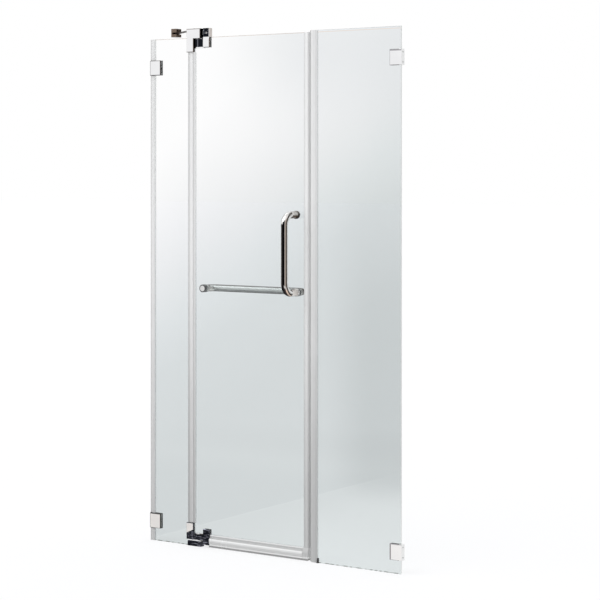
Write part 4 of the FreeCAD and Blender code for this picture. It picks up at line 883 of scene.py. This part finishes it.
def studio_world():
    """White behind the object, soft light on it, and a studio that only mirrored rays see.

    The studio has dark flags and tan and pale walls, so that the chrome doesn't turn flat white.
    """
    world = bpy.data.worlds.new("studio")
    bpy.context.scene.world = world
    world.use_nodes = True
    g = Graph(world.node_tree)
    x, y, z = g.axes(g.node("ShaderNodeTexCoord").outputs["Generated"])
    turn = g.plus(g.math("DIVIDE", g.math("ARCTAN2", y, x), 2.0 * math.pi), 0.5)
    white = (1.0, 1.0, 1.0)
    cream = (0.85, 0.82, 0.79)
    pale = (0.85, 0.83, 0.81)
    grey = (0.85, 0.85, 0.86)
    warm = (0.27, 0.215, 0.185)
    tan = (0.35, 0.29, 0.255)
    dark = (0.012, 0.011, 0.011)
    around = g.ramp(turn, (
        (0.000, white), (0.178, white), (0.196, dark), (0.372, dark), (0.380, cream),
        (0.396, cream), (0.408, tan), (0.512, tan), (0.527, pale), (0.570, pale),
        (0.586, dark), (0.730, dark), (0.775, warm), (0.835, grey), (1.000, white)))
    brown = g.times(g.band(z, 0.09, 0.30, 0.04), g.band(turn, 0.72, 0.95, 0.02))
    around = g.blend(brown, around, (0.05, 0.04, 0.032))
    studio = g.blend(g.rise(z, 0.45, 0.75), around, (0.95, 0.95, 0.96))
    plain = g.shader("Background", Color=white, Strength=0.86)
    behind = g.shader("Background", Color=white)
    flags = g.shader("Background", Color=studio)
    seen = g.mixed(g.ray("Is Camera Ray", "Is Transmission Ray"), plain, behind)
    g.finish(g.mixed(g.mirror_ray(), seen, flags), "OutputWorld")


def add_floor():
    """A wide square just under the object's foot."""
    side = 60.0
    gap = 0.0002
    mesh = bpy.data.meshes.new("floor")
    mesh.from_pydata([(-side, -side, 0), (side, -side, 0), (side, side, 0), (-side, side, 0)],
                     [], [(0, 1, 2, 3)])
    obj = bpy.data.objects.new("floor", mesh)
    obj.location.z = CAD_BOX[0][2] - gap
    bpy.context.scene.collection.objects.link(obj)
    dress(obj, pale_floor())


def add_sun():
    """One wide, soft lamp from the upper left in front of the door."""
    data = bpy.data.lights.new("key", "SUN")
    data.energy = 1.0
    data.angle = math.radians(50.0)
    obj = bpy.data.objects.new("key", data)
    obj.rotation_euler = Vector((0.5, 0.75, -1.1)).to_track_quat("-Z", "Y").to_euler()
    bpy.context.scene.collection.objects.link(obj)


def add_camera():
    """A level camera in front of the door and to its right, shifted down to frame it."""
    data = bpy.data.cameras.new("camera")
    data.sensor_width = 36.0
    data.lens = 113.16
    data.shift_y = -0.2155
    data.clip_end = 200.0
    obj = bpy.data.objects.new("camera", data)
    obj.location = (4.090, -5.399, 1.3456)
    obj.rotation_euler = (math.radians(90.0), 0.0, math.radians(34.055))
    bpy.context.scene.collection.objects.link(obj)
    bpy.context.scene.camera = obj


bpy.context.scene.view_settings.view_transform = "Standard"
studio_world()
add_floor()
add_sun()
add_camera()
